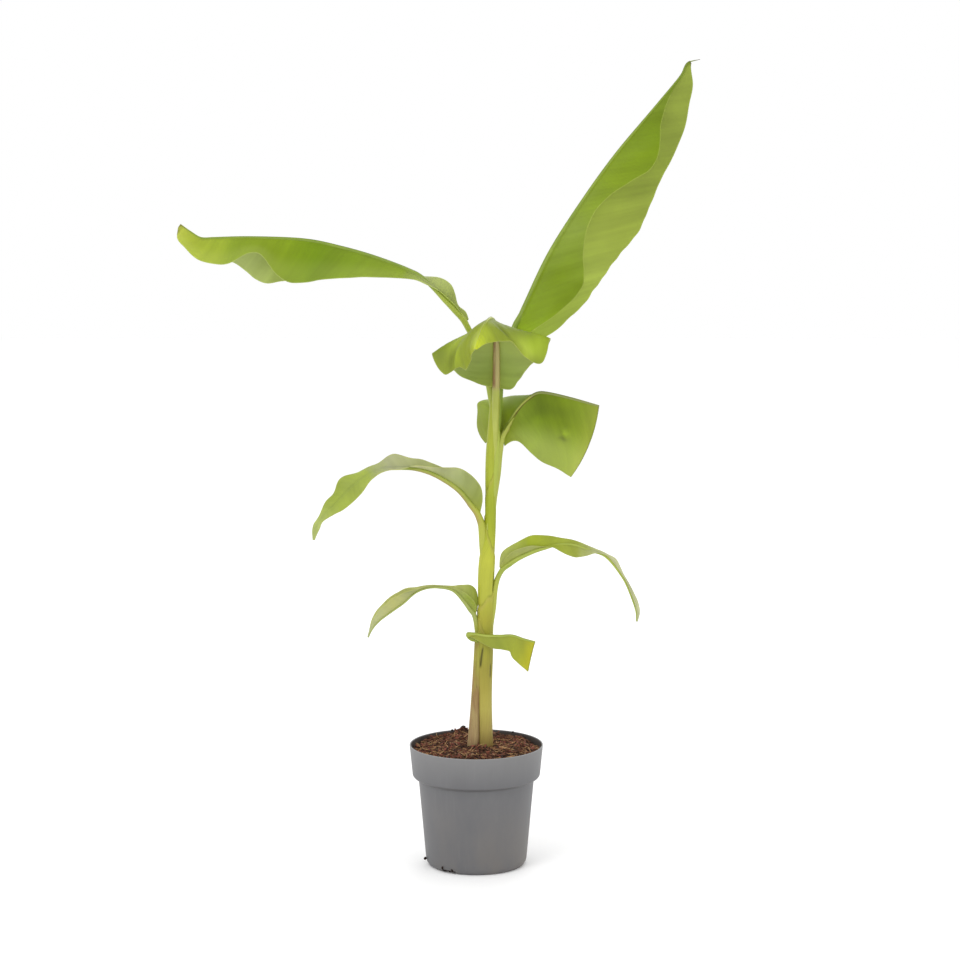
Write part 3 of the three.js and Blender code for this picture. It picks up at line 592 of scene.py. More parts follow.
# ---------------------------------------------------------------- finishes
def linear(colour):
    """A colour of three numbers from 0 to 255, as on a screen, turned into linear light."""
    if not isinstance(colour, tuple) or len(colour) != 3:
        return colour
    shares = [c / 255 for c in colour]
    return (*(c / 12.92 if c <= 0.04045 else ((c + 0.055) / 1.055) ** 2.4 for c in shares), 1)


class Finish:
    """A material, with short calls for the nodes that the finishes below are made of."""

    def __init__(self, name, **shader):
        self.material = bpy.data.materials.new(name)
        self.material.use_nodes = True
        self.tree = self.material.node_tree
        self.shader = self.tree.nodes["Principled BSDF"]
        self.colour = None
        for key, setting in shader.items():
            self.put(self.shader.inputs[key.replace("_", " ")], setting)

    def put(self, socket, setting):
        if isinstance(setting, bpy.types.NodeSocket):
            self.tree.links.new(setting, socket)
        else:
            socket.default_value = setting

    def node(self, kind, inputs, out=0, **settings):
        made = self.tree.nodes.new("ShaderNode" + kind)
        for key, setting in settings.items():
            setattr(made, key, setting)
        for key, setting in inputs.items():
            self.put(made.inputs[key], setting)
        return made.outputs[out]

    def math(self, kind, a, b):
        return self.node("Math", {0: a, 1: b}, operation=kind)

    def times(self, a, b):
        return self.math("MULTIPLY", a, b)

    def blend(self, *parts):
        """The sum of parts, each of them (amount, weight)."""
        total, *rest = [self.times(*part) for part in parts]
        for part in rest:
            total = self.math("ADD", total, part)
        return total

    def number(self, name):
        return self.node("Attribute", {}, out="Fac", attribute_name=name)

    def noise(self, where, stretch, detail=3.0, roughness=0.55):
        """Noise over metres, stretched. "Object" is the point in the piece's own frame, and
        "Veins" is along the leaf from vein to vein, and across it."""
        if where == "Object":
            spot = self.node("TexCoord", {}, out="Object")
        else:
            spot = self.node("UVMap", {}, uv_map=where)
        spot = self.node("VectorMath", {0: spot, 1: stretch}, operation="MULTIPLY")
        inputs = {"Vector": spot, "Scale": 1.0, "Detail": detail, "Roughness": roughness}
        return self.node("TexNoise", inputs)

    def ramp(self, amount, stops):
        """Colours against an amount: stops are {place: colour}."""
        made = self.tree.nodes.new("ShaderNodeValToRGB")
        self.put(made.inputs[0], amount)
        ramp = made.color_ramp
        while len(ramp.elements) < len(stops):
            ramp.elements.new(0.5)
        for element, (place, colour) in zip(ramp.elements, stops.items()):
            element.position = place
            element.color = linear(colour)
        return made.outputs[0]

    def step(self, amount, low, high):
        """0 where the amount is under low, 1 over high."""
        inputs = {"Value": amount, "From Min": low, "From Max": high}
        return self.node("MapRange", inputs, interpolation_type="SMOOTHSTEP")

    def vary(self, amount, low, high, factor=1.0):
        """Lights the colour so far by low to high, over the usual range of mixed noises."""
        inputs = {"Value": amount, "From Min": 0.32, "From Max": 0.68,
                  "To Min": low, "To Max": high}
        light = self.times(self.node("MapRange", inputs), factor)
        self.colour = self.mix(1.0, light, "MULTIPLY")

    def mix(self, amount, colour, blend="MIX"):
        inputs = {0: amount, 6: self.colour, 7: linear(colour)}
        return self.node("Mix", inputs, out=2, data_type="RGBA", blend_type=blend)

    def tint(self, amount, colour, share=None):
        """Covers the colour so far, by an amount or by the named number of the mesh. share is
        how much of that amount counts."""
        if isinstance(amount, str):
            amount = self.number(amount)
        self.colour = self.mix(self.times(amount, share) if share else amount, colour)

    def bump(self, height, distance, strength):
        """distance is how deep the bump reads, in millimetres."""
        inputs = {"Height": height, "Distance": distance * MM, "Strength": strength}
        self.put(self.shader.inputs["Normal"], self.node("Bump", inputs))

    def show(self, through=None, warmth=None):
        """Puts the colour on the surface, and lets part of the light through in a warmer one."""
        self.put(self.shader.inputs["Base Color"], self.colour)
        if through:
            glow = self.node("BsdfTranslucent", {"Color": self.mix(1.0, warmth, "MULTIPLY")})
            mixed = self.node("MixShader", {0: through, 1: self.shader.outputs[0], 2: glow})
            self.put(self.tree.nodes["Material Output"].inputs["Surface"], mixed)
        return self.material


PAINTED_SHEEN = (192, 202, 118)  # painted sheen, where the light runs along a blade
STAIN = (92, 58, 28)  # red-brown line beside a rib
DRY = (84, 66, 40)


def leaf_finish(name, tones, look, above):
    """Blade of a leaf: its tones from petiole to tip, with soft bands along the side veins."""
    finish = Finish(name, Roughness=0.46 if above else 0.6, Specular_IOR_Level=0.2)
    band = finish.noise("Veins", (34, 5, 1), detail=2.0)
    streak = finish.noise("Veins", (150, 9, 1), roughness=0.6)
    blotch = finish.noise("Object", (13, 13, 13), detail=2.0)
    drift = finish.times(finish.math("SUBTRACT", band, 0.5), 0.12)
    finish.colour = finish.ramp(finish.math("ADD", finish.number("run"), drift), tones)
    light = finish.blend((band, 0.42), (streak, 0.16), (blotch, 0.42))
    # the patches' painted light and shade scale the vein bands
    finish.vary(light, 0.78, 1.22, finish.math("ADD", finish.number("painted_light"), 1.0))
    # painted sheen over the outer part of each half blade
    finish.tint("painted_sheen", PAINTED_SHEEN)
    if not above:
        finish.tint("near_rib", look["rib"], 0.3)
    finish.tint("stain", STAIN)
    finish.tint("edge", look["margin"], 0.7)
    finish.tint("dry", DRY, finish.step(streak, 0.25, 0.6))
    finish.bump(streak, 0.2 if above else 0.3, 0.5)
    return finish.show(look["through"], (1.25, 1.2, 0.5, 1))


def rib_finish(name, look):
    """Petiole and midrib: long fibres, with a pale blush and a red-brown flush on some."""
    finish = Finish(name, Roughness=0.4, Specular_IOR_Level=0.45)
    fibre = finish.noise("Veins", (30, 1400, 1))
    blotch = finish.noise("Object", (40, 40, 40), detail=2.0)
    tone = finish.blend((fibre, 0.6), (blotch, 0.4))
    finish.colour = finish.ramp(tone, {0.36: look["rib_dark"], 0.64: look["rib"]})
    finish.tint("blush", look["blush_colour"])
    finish.tint("flush", look["flush_colour"], finish.step(fibre, 0.25, 0.62))
    finish.tint("dry", DRY)
    finish.bump(fibre, 0.3, 0.5)
    return finish.show(0.12, (1.2, 1.15, 0.5, 1))


STEM_TONES = {
    0: (128, 110, 58), 0.05: (174, 158, 82), 0.11: (182, 172, 82), 0.17: (166, 156, 66),
    0.22: (154, 146, 58), 0.3: (158, 158, 54), 0.36: (164, 160, 54), 0.43: (172, 175, 62),
    0.53: (178, 181, 62), 0.62: (158, 168, 42), 0.68: (154, 165, 42), 0.76: (168, 178, 56),
    0.9: (162, 170, 56), 1: (154, 164, 58),
}
SHEATH_TONES = {
    0: (122, 96, 64), 0.1: (160, 134, 92), 0.3: (158, 138, 86), 0.45: (150, 138, 70),
    0.7: (152, 148, 60), 1: (152, 152, 56),
}


def stem_finish():
    """Pseudostem: green above, yellow lower down, brown fibres, old sheath edges, painted shade."""
    finish = Finish("stem_flesh", Roughness=0.45, Specular_IOR_Level=0.25)
    height = finish.number("height")
    fibre = finish.noise("Veins", (9, 1100, 1), detail=4.0, roughness=0.6)
    cloud = finish.noise("Object", (45, 45, 14))
    finish.colour = finish.ramp(height, STEM_TONES)
    finish.vary(finish.blend((fibre, 0.6), (cloud, 0.4)), 0.84, 1.16)
    low = finish.math("SUBTRACT", 1.0, finish.step(height, 0.0, 0.34))
    finish.tint(finish.times(low, finish.step(fibre, 0.5, 0.66)), (132, 98, 52), 0.45)
    finish.tint("paper", (172, 158, 84))
    # painted shade in the creases along the sheath edges and down the clefts
    finish.tint("painted_shade", (86, 84, 28))
    finish.bump(fibre, 0.4, 0.6)
    return finish.show(0.1, (1.15, 1.1, 0.5, 1))


def dry_finish():
    """Outer sheath: pinkish brown fibres over what is left of the green."""
    finish = Finish("dry_sheath", Roughness=0.6, Specular_IOR_Level=0.35)
    height = finish.number("height")
    fibre = finish.noise("Veins", (14, 900, 1), detail=5.0, roughness=0.65)
    cloud = finish.noise("Object", (60, 60, 16))
    finish.colour = finish.ramp(height, SHEATH_TONES)
    low = finish.math("SUBTRACT", 1.0, finish.step(height, 0.28, 0.62))
    finish.tint(finish.times(finish.step(fibre, 0.42, 0.7), low), (190, 170, 118))
    finish.tint(finish.step(cloud, 0.42, 0.66), (136, 94, 66), 0.6)
    dark = finish.noise("Veins", (22, 420, 1), detail=2.0)
    finish.tint(finish.step(dark, 0.58, 0.72), (84, 58, 38), 0.7)
    # painted shade along the free edges and over the inner face
    finish.tint("painted_shade", (84, 60, 34))
    finish.bump(fibre, 0.6, 0.8)
    return finish.show()


def pot_finish():
    """Grey moulded plastic: a fine grain, faint run marks and a little dust low down."""
    finish = Finish("pot_plastic", Specular_IOR_Level=0.4)
    grain = finish.noise("Object", (2600, 2600, 2600), detail=2.0)
    cloud = finish.noise("Object", (22, 22, 9), detail=4.0, roughness=0.6)
    runs = finish.noise("Object", (260, 260, 6), detail=2.0)
    finish.colour = finish.ramp(cloud, {0.3: (94, 94, 96), 0.7: (102, 102, 104)})
    finish.tint(finish.step(runs, 0.55, 0.8), (114, 113, 114), 0.2)
    dust = finish.times(finish.step(cloud, 0.3, 0.7), 0.5)
    finish.tint("dust", (110, 102, 92), dust)
    # dirt and painted shade on the inner wall, and a painted shadow under the collar
    finish.tint("dirt_and_shade", (60, 52, 46))
    # painted highlight along the outside of the rim
    finish.tint("rim_highlight", (150, 149, 147), 0.6)
    rough = finish.node("MapRange", {"Value": cloud, "To Min": 0.44, "To Max": 0.58})
    finish.put(finish.shader.inputs["Roughness"], rough)
    finish.bump(finish.math("ADD", grain, finish.times(runs, 0.5)), 0.05, 0.5)
    return finish.show()


def crumb_finish(name, dark, light):
    """One kind of bark, coir or crumb in the potting mix."""
    finish = Finish(name, Roughness=0.9, Specular_IOR_Level=0.25)
    grain = finish.noise("Object", (700, 700, 700), detail=4.0, roughness=0.65)
    cloud = finish.noise("Object", (120, 120, 120), detail=2.0)
    tone = finish.blend((grain, 0.5), (cloud, 0.5))
    finish.colour = finish.ramp(tone, {0.35: dark, 0.65: light})
    finish.bump(grain, 0.5, 0.8)
    return finish.show()


# ---------------------------------------------------------------- leaves
def rib_line(leaf, shift):
    """Keys of [share, point, direction, upper side] along petiole and midrib, and its length."""
    count = leaf["steps"] + 6
    points, length = even_path(leaf["rib"], count)
    share = np.linspace(0, 1, count + 1)
    points = points + track(shift, share)
    along = unit(neighbours(points))
    up = unit(drop_part(track(leaf["face"], share), along))
    return np.hstack([share[:, None], points, along, up]), length


def rib_at(keys, share):
    """Point, direction, upper side and right hand at shares of the rib."""
    point, along, up = np.split(track(keys, share), 3, axis=-1)
    along = unit(along)
    up = unit(drop_part(up, along))
    return point, along, up, np.cross(along, up)


def half_blade(half, side, u, q, frame_at_u, seed, bow):
    """Points of one half blade, rows along the leaf, columns from rib to margin, and widths."""
    point, along, up, right = frame_at_u
    width = np.maximum(value(half["width"], u), LEAST_WIDTH)
    width = width * (1 + UNEVEN * swell(u * 40, seed, 3, seed) * smooth(0, 0.1, u))
    fold = np.radians(value(half["fold"], u))[:, None]
    sweep = np.radians(value(half.get("sweep", NONE), u))[:, None]
    middle = (q[:, 1:] + q[:, :-1]) / 2
    turn = fold + np.radians(value(bow, u))[:, None] * (1 - 2 * middle)
    reach = (
        side * (np.cos(turn) * np.cos(sweep))[..., None] * right[:, None]
        + (np.sin(turn) * np.cos(sweep))[..., None] * up[:, None]
        + np.sin(sweep)[..., None] * along[:, None]
    )
    steps = reach * np.diff(q)[..., None]
    run = np.concatenate([0 * steps[:, :1], np.cumsum(steps, axis=1)], 1)
    return point[:, None] + width[:, None, None] * run, width[:, None]


def columns_of(width, rib, count):
    """Shares of a half blade's width where its columns lie: close beside the rib and the margin."""
    near = np.minimum(rib[:, None] * RIB_COLUMNS / width[:, None], 0.4)
    near = near + np.linspace(0, 0.05, near.shape[1])
    last = 1 - np.minimum(MARGIN_WIDTH / width, 0.2)[:, None]
    even = np.linspace(0, 1, count)[None, 1:]
    return np.hstack([near, near[:, -1:] + (last - near[:, -1:]) * even, np.ones((len(width), 1))])


def over_rib(grid, frame_at_u, rib, u):
    """The blade where it lies over its midrib: pushed out to the midrib's skin."""
    point, along, up, _ = frame_at_u
    away = grid - (point - up * (RIB_SINK * rib)[:, None])[:, None]
    away = drop_part(away, along[:, None])
    far = np.maximum(np.linalg.norm(away, axis=-1, keepdims=True), 0.05)
    skin = (0.92 * rib + BLADE_THICK / 2)[:, None, None]
    return grid + away / far * np.maximum(skin - far, 0) * smooth(0, 0.06, u)[:, None, None]


def finished_half(half, name, look, u, rib, frame_at_u):
    """A half blade's points and, for each of them, its side, distance, painted sheen and width."""
    side = {"left": -1, "right": 1}[name]
    count = int(max(half["width"].values()) / ACROSS_STEP) + 3
    q = columns_of(np.maximum(value(half["width"], u), LEAST_WIDTH), rib, count)
    seed = look["seed"] + (side > 0)
    points, width = half_blade(half, side, u, q, frame_at_u, seed, look["bow"].get(name, BOW))
    out = look["bulge"].get(name, 0) * smooth(0.6, 1, u)[:, None] * 4 * q * (1 - q)
    points = points + out[..., None] * frame_at_u[1][:, None]
    for _ in range(look["ease"].get(name, 0)):
        middle = (points[:-2] + 2 * points[1:-1] + points[2:]) / 4
        points[1:-1] += (middle - points[1:-1]) * q[1:-1, :, None]
    # how far the painted sheen pales this half, along the blade
    painted_sheen = value(look["painted_sheen"].get(name, NONE), u)[:, None]
    return points, side * q, side * q * width, painted_sheen + 0 * q, width + 0 * q


def blade_sheet(leaf, look, keys, length):
    """Points, faces, kinds, vein map and numbers of a whole blade."""
    start, end = leaf["blade"]
    blade_length = (end - start) * length
    u = np.linspace(0, 1, int(blade_length / ALONG_STEP) + 1)
    rib = value(look["tube"], start + (end - start) * u)
    frame_at_u = rib_at(keys, start + (end - start) * u)
    left, right = (finished_half(leaf[name], name, look, u, rib, frame_at_u)
                   for name in ("left", "right"))
    grid, side, across, painted_sheen, width = (
        np.concatenate([a[:, :0:-1], b], 1) for a, b in zip(left, right))
    grid = over_rib(grid, frame_at_u, rib, u)
    outward = unit(np.cross(np.gradient(grid, axis=1), np.gradient(grid, axis=0)))
    share, far = np.abs(side), np.abs(across)
    run = u[:, None] + 0 * side
    along = run * blade_length
    seed = look["seed"]
    vein = along - look["lean"] * far * (0.75 + 0.25 * share)
    wave = swell(along - 0.3 * far, np.sign(side) * 60, look["wave_length"], seed + 2)
    wave = look["wave"] * share**2.2 * wave
    hump = look["hump"] * share * swell(vein, across, 70, seed + 3)
    pleat = PLEAT_DEPTH * np.sin(ROUND * (vein + 1.5 * swell(vein, across, 60, seed + 4)) / PLEAT)
    pleat = pleat * smooth(0.02, 0.2, share) * smooth(1.0, 0.8, share)
    painted_light, lift = 0 * run, 0 * run
    # painted light and shade of the blade's facets, with their lift
    for way, place, out, reach_along, reach_across, light, height in look["patches"]:
        spot = bell(along, place * blade_length, reach_along)
        spot = spot * bell(across, way * out, reach_across)
        painted_light = painted_light + light * spot
        lift = lift + height * spot
    grid = grid + outward * ((wave + hump + pleat) * smooth(3, 16, width) + lift)[..., None]
    points, faces, kinds = slab(grid, BLADE_THICK)
    stain = 0 * run
    for way, low, high, reach in look["stain"]:
        stain = 0.85 * window(low, high, 0.06, 0.06, run) * (way * side > 0)
        stain = stain * bell(far, rib[:, None], reach)
    numbers = {
        "edge": (share > 0.999) * smooth(2, 8, width),
        "near_rib": 1 - smooth(1, 5, far - rib[:, None]),
        "painted_sheen": painted_sheen * smooth(0.35, 0.8, share),
        "stain": stain,
        "painted_light": painted_light,
        "run": run,
        "dry": look["cut"] * smooth(0.994, 0.999, run) + smooth(*look["tip"], run),
    }
    numbers = {name: np.stack([n, n]) for name, n in numbers.items()}
    veins = np.stack([vein, across], -1)
    return points, faces, kinds, np.stack([veins, veins]), numbers


def rib_rings(leaf, look, keys, length):
    """Rings of petiole and midrib, from where it leaves the stem's middle out to the tip."""
    foot, drop = keys[0, 1:4], look["drop"]
    share = np.linspace(0, 1, int(length / RIB_STEP) + 1)
    point, along, up, right = rib_at(keys, share)
    low = np.linspace(0, 1, int(drop / 2.5) + 1)[:-1]
    height = foot[2] - drop * (1 - low)
    axis, core = track(STEM_KEYS, height).T
    core = core * 0.9
    start = np.stack([axis, 0 * axis, height], -1)
    if "root" in look:
        start[:, :2] = look["root"][:2]
        core[:] = look["root"][2]
    ease = smooth(0, 1, low)
    run_in = foot - along[0] * (drop * (1 - low))[:, None]
    centre = start * (1 - ease)[:, None] + run_in * ease[:, None]
    centre[:, 2] = height
    point = np.vstack([centre, point])
    tangent = unit(np.gradient(point, axis=0))
    up = unit(drop_part(np.vstack([np.tile(up[0], (len(low), 1)), up]), tangent))
    right = np.cross(tangent, up)
    radius = value(look["tube"], share)
    radius = np.r_[core + (radius[0] - core) * ease, radius][:, None]
    share = np.r_[low - 1, share][:, None]
    angle = np.linspace(-math.pi, math.pi, RIB_SIDES, endpoint=False)
    start, end = leaf["blade"]
    sunk = smooth(start, start + 0.06 * (end - start), share)
    point = point - up * RIB_SINK * radius * sunk
    groove = look["groove"] * smooth(-0.4, 0.03, share)
    groove = groove * (1 - smooth(start - 0.04, start + 0.02, share))
    shape = (
        1 + 0.02 * np.sin(5 * angle + 1.3)
        - groove * bell(angle, 0, 0.6)
        + 0.25 * groove * bell(np.abs(angle), 1.05, 0.4)
    )
    outward = np.cos(angle)[:, None] * up[:, None] + np.sin(angle)[:, None] * right[:, None]
    rings = point[:, None] + (radius * shape)[..., None] * outward
    return rings, share + 0 * angle, angle + 0 * share, radius


def make_leaf(name, leaf, look, nodes):
    keys, length = rib_line(leaf, look["shift"])
    upper = leaf_finish(name + "_upper", look["upper"], look, above=True)
    under = leaf_finish(name + "_under", look["under"], look, above=False)
    points, faces, kinds, veins, numbers = blade_sheet(leaf, look, keys, length)
    add_piece(name + "_blade", points, faces, [upper, under],
              kinds=kinds, veins=veins, values=numbers, stands_for=nodes)
    rings, run, angle, radius = rib_rings(leaf, look, keys, length)
    flush = 0 * run
    for low, high, middle, spread in look["flush"]:
        band = window(low, high, 0.04, 0.05, run) * bell(angle, middle, spread)
        flush = np.maximum(flush, band)
    low, high = look["blush"]
    blush = 0.85 * window(low, high, 0.04, 0.08, run) * bell(angle, 0, 9)
    dry = smooth(0.975, 1, run) * (look["tip"] != NO_TIP)
    points, faces = tube(rings)
    add_piece(name + "_rib", points, faces, [rib_finish(name + "_rib", look)],
              veins=np.stack([run * length, angle * radius], -1),
              values={"flush": flush, "blush": blush, "dry": dry})


# ---------------------------------------------------------------- stem and outer sheath
def make_stem():
    low, high = STEM_KEYS[0][0], STEM_KEYS[-1][0]
    z = np.linspace(low, high, int((high - low) / STEM_STEP))[:, None]
    angle = around(STEM_SIDES)[None, :]
    axis, radius = track(STEM_KEYS, z[:, 0]).T[..., None]
    painted_shade = paper = 0 * z * angle
    relief = 0.25 * np.cos(2 * angle + z / 60) + 0.12 * swell(angle * 9, z / 22, 5, 3)
    for turn, near, far, step, bend in SHEATH_EDGES:
        away = np.abs((angle - math.radians(turn) + math.pi) % ROUND - math.pi) / math.pi
        edge = near - (near - far) * away**bend + 2.0 * swell(angle * 8, near, 6, int(near))
        relief = relief + step * (smooth(-1.6, 1.6, edge - z) - smooth(-55, 55, edge - z))
        # painted shade in the crease just above the sheath's edge
        painted_shade = np.maximum(painted_shade, 0.5 * bell(z - edge, 1.4, 1.5))
        paper = np.maximum(paper, window(-1, 9, 2, 7, edge - z))
    for turn, top, bottom, spread, lean in CREVICES:
        down = (top - z) / (top - bottom)
        aside = (angle - np.radians(turn + lean * down) + math.pi) % ROUND - math.pi
        mark = window(bottom - 3, top + 3, 6, 6, z)
        mark = mark * bell(aside, 0, math.radians(spread) * (0.55 + 0.45 * down))
        # painted shade down the cleft, which is also sunk a little
        painted_shade = np.maximum(painted_shade, mark * 1.7)
        relief = relief - 0.8 * mark
    reach = radius + relief * smooth(high, high - 16, z)
    points, faces = tube(circle(reach, angle, z, axis))
    painted_shade = painted_shade * (0.6 + 0.25 * swell(angle * 10, z / 12, 7, 9))
    height = (z - SOIL_TOP) / (high - SOIL_TOP) + 0 * angle
    add_piece("pseudostem_skin", points, faces, [stem_finish()],
              veins=np.stack([z + 0 * angle, radius * angle], -1),
              values={"painted_shade": painted_shade, "paper": paper * 0.36, "height": height},
              stands_for=["pseudostem"])


def make_outer_sheath():
    low, high = min(OUTER_KEYS), max(OUTER_KEYS)
    z = np.linspace(low, high, int((high - low) / OUTER_STEP))[:, None]
    share = np.linspace(-1, 1, OUTER_COLUMNS)[None, :]
    axis, radius = track(STEM_KEYS, z[:, 0]).T[..., None]
    angle = math.pi + np.radians(np.where(share > 0, OUTER_FRONT, OUTER_BACK)) * share
    hug = smooth(*OUTER_HUG, z)
    bulge = np.where(share > 0, np.clip(1 - share**2, 0, 1) ** (0.8 + 1.1 * hug),
                     np.cos(share * math.pi / 2) ** 2)
    thick = (value(OUTER_KEYS, z) - 0.8) * bulge * (1 - 0.9 * smooth(high - 11, high, z))
    ridge = 0.35 * np.sin(share * 19 + 0.02 * z) + 0.25 * swell(share * 30, z / 16, 7, 21)
    outer = radius + 0.7 + thick + ridge * smooth(0, 0.35, bulge)
    inner = radius - 0.4 + 0 * angle
    rings = [circle(outer, angle, z, axis), circle(inner, angle, z, axis)[:, ::-1]]
    rings = np.concatenate(rings, 1)
    rows, sides = rings.shape[:2]
    faces = grid_faces(rows, sides, closed=True)
    for row, flip in ((0, 1), (rows - 1, -1)):
        base = row * sides
        for j in range(sides // 2 - 1):
            quad = [base + j, base + sides - 1 - j, base + sides - 2 - j, base + j + 1]
            faces.append(quad[::flip])
    # painted shade along the free edges where the sheath stands off the stem; the inner face takes
    # it all over
    edge = 0.45 * smooth(0.9, 1, np.abs(share)) * (1 - hug)
    height = (z - SOIL_TOP) / (high - SOIL_TOP) + 0 * rings[..., 0]
    veins = np.stack([z + 0 * angle, outer * angle], -1)
    add_piece("outer_sheath_skin", rings, faces, [dry_finish()],
              veins=np.concatenate([veins, veins[:, ::-1]], 1),
              values={"painted_shade": np.concatenate([edge, np.ones_like(edge)], 1), "height": height},
              stands_for=["outer_sheath"])


# ---------------------------------------------------------------- pot
def rounded(profile, corners):
    """The profile with the named corners turned into arcs: corners is {index: radius}."""
    out = []
    for i, corner in enumerate(profile):
        if i not in corners:
            out.append(corner[None])
            continue
        t = np.linspace(0, 1, 7)[:, None]
        a, b = (corner + unit(profile[j] - corner) * corners[i] for j in (i - 1, i + 1))
        out.append((1 - t) ** 2 * a + 2 * t * (1 - t) * corner + t**2 * b)
    return np.vstack(out)


def wall_profile(inset):
    """Radius and height of the pot's wall from foot to rim, moved in by inset."""
    foot = POT["height"] - POT["band_height"]
    return np.array([
        [POT["base_radius"] - inset, POT["foot_round"]],
        [POT["body_top_radius"] - inset, foot - POT["step_drop"]],
        [POT["band_foot_radius"] - inset, foot],
        [POT["rim_radius"] - inset, POT["height"]],
    ])


def radius_in(inset, z):
    wall = wall_profile(inset)
    return np.interp(z, wall[:, 1], wall[:, 0])


def soil_radius(z):
    return float(radius_in(POT["wall"] + 0.2, z))


def make_pot():
    out, back = wall_profile(0), wall_profile(POT["wall"])[::-1]
    back[1:3, 1] += 1
    foot = POT["foot_round"]
    under_lip = back[0] + (back[1] - back[0]) * 0.055
    floor, base, dish = POT["floor"], POT["base_radius"], POT["dish"]
    inset = POT["dish_edge"]
    profile = np.vstack([
        [[0, dish], [base - inset - 1.5, dish], [base - inset, 0], [base - foot * 0.75, 0]],
        out, back[:1], under_lip[None], back[1:],
        [[back[-1, 0] - 3, floor], [0, floor]],
    ])
    profile = rounded(profile, {3: 2.2, 4: 3.4, 5: 2.2, 6: 2.4, 7: 0.8, 8: 0.8, 10: 2, 11: 2})
    sides = POT["sides"]
    r, z = profile[1:-1].T[..., None]
    skin = circle(r, around(sides), z).reshape(-1, 3)
    faces = grid_faces(len(profile) - 2, sides, closed=True)
    low, high = len(skin), len(skin) + 1
    last = (len(profile) - 3) * sides
    faces += [[(j + 1) % sides, j, low] for j in range(sides)]
    faces += [[last + j, last + (j + 1) % sides, high] for j in range(sides)]
    points = np.vstack([skin, [[0, 0, profile[0, 1]], [0, 0, profile[-1, 1]]]])
    mesh = cut_drains(new_mesh("pot_shell", points, faces))
    mesh.materials.clear()
    mesh.materials.append(pot_finish())
    flat = np.empty(len(mesh.vertices) * 3, np.float32)
    mesh.vertices.foreach_get("co", flat)
    x, y, z = flat.reshape(-1, 3).T / MM
    inside = np.hypot(x, y) < radius_in(POT["wall"] * 0.6, z)
    top = POT["height"]
    crease = top - POT["band_height"] - POT["step_drop"] / 2
    # dirt and painted shade on the inner wall, and a painted shadow band under the collar's step
    dirt_and_shade = 0.85 * inside * (z > 20) * (1 - smooth(top - 1.5, top - 0.2, z))
    add_values(mesh, {
        "dust": 1 - smooth(0, 45, z),
        "dirt_and_shade": dirt_and_shade + 0.4 * ~inside * bell(z, crease, 2.2),
        # painted highlight along the outside of the rim
        "rim_highlight": ~inside * smooth(top - 1.4, top - 0.2, z),
    })
    mesh.shade_smooth()
    mesh.set_sharp_from_angle(angle=math.radians(38))
    add_object("pot_shell", mesh, ["pot"])


def drain_angles():
    return math.radians(POT["drain_turn"]) + around(POT["drains"])


def cut_drains(mesh):
    """The pot's mesh with the slots cut through its bottom edge."""
    shell = bpy.data.objects.new("shell", mesh)
    scene = bpy.context.scene
    scene.collection.objects.link(shell)
    size = [POT["drain_reach"], POT["drain_width"] / 2, POT["drain_height"]]
    corners = np.array([[x, y, z] for x in (-1, 1) for y in (-1, 1) for z in (-1, 1)])
    x, y, z = (corners * size + [POT["base_radius"], 0, 0]).T
    faces = [[0, 1, 3, 2], [4, 6, 7, 5], [0, 4, 5, 1], [2, 3, 7, 6], [0, 2, 6, 4], [1, 5, 7, 3]]
    used = [shell]
    for turn in drain_angles():
        box = circle(np.hypot(x, y), turn + np.arctan2(y, x), z)
        cutter = bpy.data.objects.new("drain", new_mesh("drain", box, faces))
        scene.collection.objects.link(cutter)
        cut = shell.modifiers.new("drain", "BOOLEAN")
        cut.operation = "DIFFERENCE"
        cut.solver = "EXACT"
        cut.object = cutter
        used.append(cutter)
    ready = shell.evaluated_get(bpy.context.evaluated_depsgraph_get())
    result = bpy.data.meshes.new_from_object(ready)
    for one in used:
        bpy.data.objects.remove(one)
    return result


# ---------------------------------------------------------------- potting mix
# name of the piece and of its finish, how many bits, dark and light colour, and how far a bit
# may lie from level
LITTER = [
    ("soil_chips_dark", "bark_dark", 560, (44, 28, 21), (74, 48, 36), 0.45),
    ("soil_chips_brown", "bark_brown", 620, (82, 52, 38), (124, 82, 60), 0.45),
    ("soil_chips_red", "bark_red", 420, (98, 54, 44), (144, 84, 68), 0.45),
    ("soil_chips_tan", "bark_tan", 130, (126, 96, 70), (168, 134, 102), 0.45),
    ("soil_fibres_straw", "fibre_straw", 240, (168, 128, 84), (214, 172, 122), 0.25),
    ("soil_fibres_coir", "fibre_coir", 300, (90, 58, 38), (146, 100, 66), 0.25),
]
# the flake on the back of the rim and single crumbs: place, half sizes
CRUMBS = [
    ([-17.5, 76.5, 159], [4.8, 3.4, 2.4]), ([-31.5, 77, 155.3], [1.6, 1.3, 1.1]),
    ([47.5, 68.5, 154.6], [1.8, 1.4, 1.2]), ([-65.3, -13.7, 9], [2.3, 1.9, 2.2]),
    ([-42.8, -49, 6.5], [1.4, 1.1, 2.4]),
]


def soil_height(x, y):
    level = SOIL_TOP - SOIL_EDGE_DROP * smooth(SOIL_FLAT_RADIUS, 80, np.hypot(x, y))
    level = level + 1.3 * swell(x, y, 26, 41) + 0.8 * swell(x, y, 9, 42)
    level = level + SOIL_BACK_RISE * smooth(20, 75, y)
    for heap_x, heap_y, height, reach_x, reach_y in HEAPS:
        level = level + height * bell(x, heap_x, reach_x) * bell(y, heap_y, reach_y)
    return level


